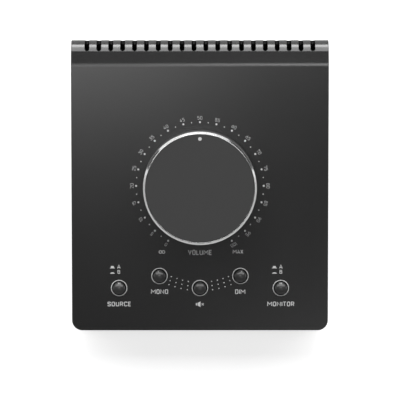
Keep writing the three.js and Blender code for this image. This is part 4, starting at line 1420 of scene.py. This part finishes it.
@dataclass
class PanScrew:
    """A pan head screw with a cross recess and a rolled thread."""

    name: str
    place: Place
    length: float
    head_radius: float = 2.7
    head_height: float = 1.5
    dome: float = 0.6
    edge_round: float = 0.25
    recess_reach: float = 1.5
    recess_width: float = 0.62
    recess_depth: float = 0.85
    recess_slant: float = 0.55
    recess_draft: float = 0.12
    recess_end: float = 0.2
    shank_radius: float = 1.45
    pitch: float = 0.5
    thread_depth: float = 0.2
    thread_end: float = 0.3
    rows_a_turn: int = 6
    segments: int = 96

    def build(self) -> None:
        """Turns the head and the shank.

        The top is H - D (r / R)^2 high. In the cross, it is lower by a depth that falls off
        towards the ends of the arms. The shank's radius is a cosine of h / pitch - a / 2 pi.
        """
        reach = self.head_radius - self.edge_round
        rows = int(self.length / self.pitch * self.rows_a_turn)
        shank = np.linspace(-self.length, -self.thread_end, rows)
        spokes = np.linspace(reach, 0.04, 36)
        top = self.head_height - self.dome * (spokes / self.head_radius) ** 2
        head = [
            (self.shank_radius, 0.0),
            (self.head_radius, 0.0, 0.1),
            (self.head_radius, float(top[0]), self.edge_round),
            (reach, float(top[0])),
        ]
        parts = [
            [(0.0, -self.length)],
            beside(self.shank_radius, shank),
            rounded(head)[:-1],
            beside(spokes, top),
            [(0.0, self.head_height - self.recess_depth)],
        ]
        made = Shell().lathe(self.place, np.concatenate(parts), self.segments, self.shape)
        made.settle(f"{self.name}_cross", BLACK_ZINC, self.place, self.name)

    def shape(self, rows: Array, angle: Array) -> tuple[Array, Array]:
        """Cuts the thread into the shank and the cross into the head."""
        radius, height = np.broadcast_arrays(rows[:, :1], rows[:, 1:], angle)[:2]
        turn = 2.0 * np.pi * height / self.pitch - angle
        threaded = height < -self.thread_end / 2.0
        groove = threaded * self.thread_depth * (0.5 - 0.5 * np.cos(turn))
        x, y = np.abs(radius * np.cos(angle)), np.abs(radius * np.sin(angle))
        across, along = np.minimum(x, y), np.maximum(x, y)
        inside = np.clip((self.recess_width / 2.0 - across) / self.recess_draft + 0.5, 0.0, 1.0)
        inside = inside * np.clip((self.recess_reach - along) / self.recess_end + 0.5, 0.0, 1.0)
        slant = self.recess_depth * (1.0 - self.recess_slant * along / self.recess_reach)
        on_top = height > self.head_height - self.dome - 0.01
        return radius - groove, height - inside * slant * on_top


@dataclass
class RubberFoot:
    """A moulded foot with a dished sole."""

    name: str
    chamfer: float = 0.6
    taper: float = 0.8
    dish_radius: float = 3.0
    dish_depth: float = 0.5
    dish_slant: float = 0.5
    segments: int = 64

    def build(self) -> None:
        """Turns the foot between the ends of its box."""
        low, high = node_box(self.name)
        place = Place(np.array([*((low + high) / 2.0)[:2], low[2]]))
        top, radius = float(high[2] - low[2]), float(high[0] - low[0]) / 2.0
        sole = radius - self.taper
        profile = [
            (0.0, self.dish_depth),
            (self.dish_radius, self.dish_depth, 0.3),
            (self.dish_radius + self.dish_slant, 0.0, 0.25),
            (sole - self.chamfer, 0.0, 0.3),
            (sole, self.chamfer, 0.3),
            (radius, top, 0.2),
            (0.0, top),
        ]
        made = Shell().lathe(place, rounded(profile), self.segments)
        made.settle(f"{self.name}_moulded", NEOPRENE, place, self.name)


@dataclass(kw_only=True)
class RearSide(Printer):
    """The sockets, the screws, the feet, the clinched blocks and the rear print."""

    nodes: Sequence[str]
    stroke_share: float = 0.14
    label_height: float = 2.5
    label_offset: float = 10.0
    label_spread: float = 1.9
    side_screw_length: float = 8.0
    rear_screw_length: float = 5.0
    head_height: float = 1.5
    block_width: float = 7.0
    block_length: float = 9.0
    block_outer: float = 63.5
    block_underside: float = -10.0
    sheet: float = 2.0
    # A near-black strip on the rear panel's top edge paints the shade seen through the slots.
    shade_strip_y: float = 72.3
    shade_strip_width: float = 2.2
    shade_strip_length: float = 122.0
    shade_strip_height: float = 0.7
    shade_strip_gap: float = 0.02

    def build(self) -> None:
        """Makes every piece behind, beside and under the case."""
        rear = np.array([[1.0, 0.0, 0.0], [0.0, 0.0, -1.0], [0.0, 1.0, 0.0]])
        down = np.array([[1.0, 0.0, 0.0], [0.0, -1.0, 0.0], [0.0, 0.0, -1.0]])
        for name in self.nodes:
            low, high = node_box(name)
            x, y, z = (low + high) / 2.0
            if name.startswith(("plug_socket_", "combo_socket_")):
                kind, column = name.split("_socket_")
                place = Place(np.array([x, high[1] - RoundSocket.proud, z]), rear)
                socket = RoundSocket(place, column)
                (socket.output if kind == "plug" else socket.input)()
                self.label(place, column)
            elif name.startswith("cover_screw_"):
                side = float(np.sign(x))
                outer = np.abs([low[0], high[0]]).max() - self.head_height
                axes = np.array([[0.0, side, 0.0], [0.0, 0.0, 1.0], [side, 0.0, 0.0]])
                place = Place(np.array([side * outer, y, z]), axes)
                PanScrew(name, place, self.side_screw_length).build()
                self.block(side, place.origin, name)
            elif name.startswith("rear_panel_screw_"):
                place = Place(np.array([x, y, low[2] + self.head_height]), down)
                PanScrew(name, place, self.rear_screw_length).build()
            elif name.startswith("foot_"):
                RubberFoot(name).build()
        self.shell.settle("rear_print", PALE_INK, self.panel)
        # Painted shade behind the vent slots.
        self.lay_painted_shade()

    def lay_painted_shade(self) -> None:
        """Lays painted shade on the rear panel's top edge: a near-black strip behind the slots."""
        place = Place(np.array([0.0, self.shade_strip_y, node_box("rear_panel")[1][2]]))
        half = self.shade_strip_length / 2.0
        outline = rectangle(-half, half, self.shade_strip_width, 0.4)
        made = Shell().prism(place, outline, self.shade_strip_gap, self.shade_strip_height)
        made.settle("painted_slot_shade", PAINTED_SHADE_BLACK, place)

    def block(self, side: float, screw: Array, name: str) -> None:
        """Makes the block under the cover that a side screw goes into."""
        place = self.panel.moved(0.0, self.panel.spot(screw)[1])
        inner = self.block_outer - self.block_width
        outline = rectangle(inner, self.block_outer, self.block_length, 0.6)
        if side < 0.0:
            outline = outline[::-1] * MIRROR
        made = Shell().prism(place, outline, self.block_underside, -self.sheet)
        made.settle(name.replace("cover_screw", "cover_block"), POWDER_COAT, place)

    def label(self, socket: Place, column: str) -> None:
        """Prints what a column of sockets is for, beside its jack."""
        height = sum(corner[2] for corner in node_box(f"jack_nut_{column}")) / 2.0
        x, y, _ = socket.origin
        axes = np.array([[-1.0, 0.0, 0.0], [0.0, 0.0, 1.0], [0.0, 1.0, 0.0]])
        place = Place(np.array([x + self.label_offset, y, height]), axes)
        kind, side = column.split("_")
        words = ("IN" if kind == "input" else "OUT", side[0].upper())
        for word, rise in zip(words, (self.label_spread, -self.label_spread)):
            self.text(word, place.moved(0.0, rise), self.label_height)


# Nodes that keep their CAD shape


@dataclass
class KeptNodes:
    """Gives the frame's own pieces softened edges and their finish."""

    frame: Frame
    edge_mm: float = 0.18
    edge_angle: float = np.radians(40.0)
    finishes: tuple[Finish, ...] = (
        POWDER_COAT, WRINKLE_COAT, SOFT_TOUCH, DIAMOND_CUT, PALE_INK, GLOSSY_ABS, FILLED_NYLON,
        ACETAL, NICKEL_PLATE, ZINC_PLATE, BLACK_ZINC, SOLDER_RESIST, NEOPRENE, RIBBON_PVC,
    )

    def build(self) -> None:
        """Dresses every node that no piece has replaced."""
        finishes = {finish.slot.value: finish for finish in self.finishes}
        slots = {row["node"]: row["material_slot"] for row in self.frame["record"]["subparts"]}
        for name, piece in self.frame["nodes"].items():
            if not piece.hide_render:
                self.dress(piece, name, finishes[slots[name]])

    def dress(self, piece: bpy.types.Object, name: str, finish: Finish) -> None:
        """Softens one node's edges and gives it its finish."""
        low, high = node_box(name)
        piece.data.materials.clear()
        piece.data.materials.append(finish.material(Place((low + high) / 2.0)))
        piece.modifiers.new("weld", "WELD").merge_threshold = 1e-6
        bevel = piece.modifiers.new("edges", "BEVEL")
        bevel.width = self.edge_mm * MM
        bevel.segments = 2
        bevel.limit_method = "ANGLE"
        bevel.angle_limit = self.edge_angle
        piece.modifiers.new("weighted", "WEIGHTED_NORMAL").keep_sharp = True
        log.info("%s: kept, %s", name, finish.name)


# The studio


@dataclass(frozen=True)
class Softbox:
    """A rectangular lamp on a dome round the object, faced at the object.

    Attributes:
        name: The lamp's name.
        back: How far it stands back from overhead, in degrees.
        right: How far it stands to the right of that, in degrees.
        height: Degrees that it covers from front to back.
        width: Degrees that it covers from side to side.
        radiance: Brightness of its face, where 1 is white.
    """

    name: str
    back: float
    right: float
    height: float
    width: float
    radiance: float

    def build(self, target: Vector, distance: float) -> None:
        """Makes the lamp, with its sides along the dome's two directions.

        A lamp at b back and r right stands towards (sin r, cos r sin b, cos r cos b).
        """
        b, r = np.radians(self.back), np.radians(self.right)
        away = Vector((np.sin(r), np.cos(r) * np.sin(b), np.cos(r) * np.cos(b)))
        across = Vector((np.cos(r), -np.sin(r) * np.sin(b), -np.sin(r) * np.cos(b)))
        size = 2.0 * distance * np.tan(np.radians([self.width, self.height]) / 2.0)
        lamp = bpy.data.lights.new(self.name, "AREA")
        lamp.shape = "RECTANGLE"
        lamp.size, lamp.size_y = size.tolist()
        lamp.energy = float(self.radiance * np.pi * size.prod())
        holder = bpy.data.objects.new(self.name, lamp)
        bpy.context.scene.collection.objects.link(holder)
        holder.location = target + away * distance
        turn = Matrix((across, away.cross(across), away)).transposed()
        holder.rotation_euler = turn.to_euler()
        holder.visible_camera = False


@dataclass
class Studio:
    """The camera, the pale floor, the soft lamps and the world."""

    target: Vector = field(default_factory=lambda: Vector((0.0, 0.0, 0.042)))
    aim: Vector = field(default_factory=lambda: Vector((0.00003, -0.00764, 0.042)))
    elevation: float = 84.84
    distance: float = 1.352
    sensor: float = 36.0
    lens: float = 232.74
    floor_size: float = 8.0
    floor_colour: str = "#dcdcdc"
    floor_lift: float = 0.7
    ambient: float = 0.07
    dome_radius: float = 2.2
    boxes: tuple[Softbox, ...] = (
        Softbox("rear_softbox", 36.5, 0.0, 37.0, 104.0, 2.85),
        Softbox("rear_lower_strip", 62.5, 0.0, 16.0, 36.0, 7.5),
        Softbox("rear_low_softbox", 80.0, -8.0, 10.0, 84.0, 1.4),
        Softbox("overhead_strip", -1.0, 2.0, 8.0, 46.0, 1.0),
        Softbox("overhead_softbox", -1.0, 5.0, 8.0, 10.0, 2.9),
        Softbox("overhead_left_softbox", -8.0, -4.0, 6.0, 8.0, 2.45),
        Softbox("overhead_far_softbox", -8.0, -14.0, 6.0, 12.0, 2.5),
        Softbox("front_high_softbox", -27.0, 13.0, 12.0, 24.0, 0.85),
        Softbox("front_low_softbox", -78.0, 0.0, 16.0, 60.0, 0.3),
        Softbox("right_low_softbox", 0.0, 83.0, 30.0, 12.0, 1.3),
        Softbox("left_low_softbox", 0.0, -83.0, 30.0, 12.0, 1.1),
    )

    def build(self) -> None:
        """Sets up everything round the object."""
        self.camera()
        self.floor()
        self.world()
        for box in self.boxes:
            box.build(self.target, self.dome_radius)
        bpy.context.scene.view_settings.view_transform = "Standard"

    def camera(self) -> None:
        """Stands the camera nearly straight above, leaning a little to the front."""
        lens = bpy.data.cameras.new("camera")
        lens.sensor_width = self.sensor
        lens.lens = self.lens
        lens.clip_end = 50.0
        holder = bpy.data.objects.new("camera", lens)
        bpy.context.scene.collection.objects.link(holder)
        tilt = np.radians(self.elevation)
        holder.location = self.target + Vector((0.0, -np.cos(tilt), np.sin(tilt))) * self.distance
        view = self.aim - holder.location
        holder.rotation_euler = view.to_track_quat("-Z", "Y").to_euler()
        bpy.context.scene.camera = holder

    def floor(self) -> None:
        """Lays a pale matte floor that the camera sees as white with a soft shadow."""
        half = self.floor_size / MM / 2.0
        x, y = np.meshgrid(*[np.linspace(-half, half, 9)] * 2)
        points = np.stack([x, y, np.zeros_like(x)], axis=-1)
        floor = Shell().add(points, grid_quads(9, 9, False, False)).piece("floor")
        made = bpy.data.materials.new("matte_paper_floor")
        made.use_nodes = True
        tree = made.node_tree
        tree.nodes.clear()
        seen = node(tree, "LightPath")
        lift = node(tree, "Math", {0: seen, 1: self.floor_lift}, operation="MULTIPLY")
        glow = node(tree, "Emission", {"Strength": lift})
        paper = node(tree, "BsdfDiffuse", {"Color": linear(self.floor_colour)})
        both = node(tree, "AddShader", {0: paper, 1: glow})
        node(tree, "OutputMaterial", {"Surface": both})
        floor.data.materials.append(made)

    def world(self) -> None:
        """Lights from all round at a low level, behind a backdrop that the camera sees white."""
        world = bpy.data.worlds.new("studio")
        bpy.context.scene.world = world
        world.use_nodes = True
        tree = world.node_tree
        limits = {"Value": node(tree, "LightPath"), "To Min": self.ambient, "To Max": 1.0}
        back = tree.nodes["Background"]
        back.inputs["Color"].default_value = linear("#ffffff")
        tree.links.new(node(tree, "MapRange", limits), back.inputs["Strength"])


def main() -> None:
    """Builds the studio and dresses the controller, sub-assembly by sub-assembly."""
    logging.basicConfig(level=logging.INFO, format="%(name)s %(message)s")
    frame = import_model()
    Studio().build()
    joint = next(j for j in frame["joints"] if j["name"] == "knob_turn")
    normal, across = np.array(joint["axis"]), np.array([1.0, 0.0, 0.0])
    axes = np.stack([across, np.cross(normal, across), normal])
    spindle = Place(np.array(joint["pos_m"]) / MM, axes)
    lip_distance = (spindle.origin[1] - node_box("top_cover")[0][1]) / axes[1, 1]
    panel = spindle.moved(0.0, -lip_distance)
    dial = panel.spot(spindle.origin)
    caps = {}
    for name in ("source", "mono", "mute", "dim", "speaker"):
        low, high = node_box(f"button_{name}")
        caps[name] = panel.spot((low + high) / 2.0)
    FoldedCover(panel).build(dial[1], caps)
    VolumeKnob(spindle).build()
    for name, (x, s) in caps.items():
        PushCap(name, panel.moved(x, s)).build()
    PanelPrint(panel=panel, dial=dial, caps=caps).build()
    RearSide(panel=panel, nodes=list(frame["nodes"])).build()
    KeptNodes(frame).build()


if __name__ == "__main__":
    main()
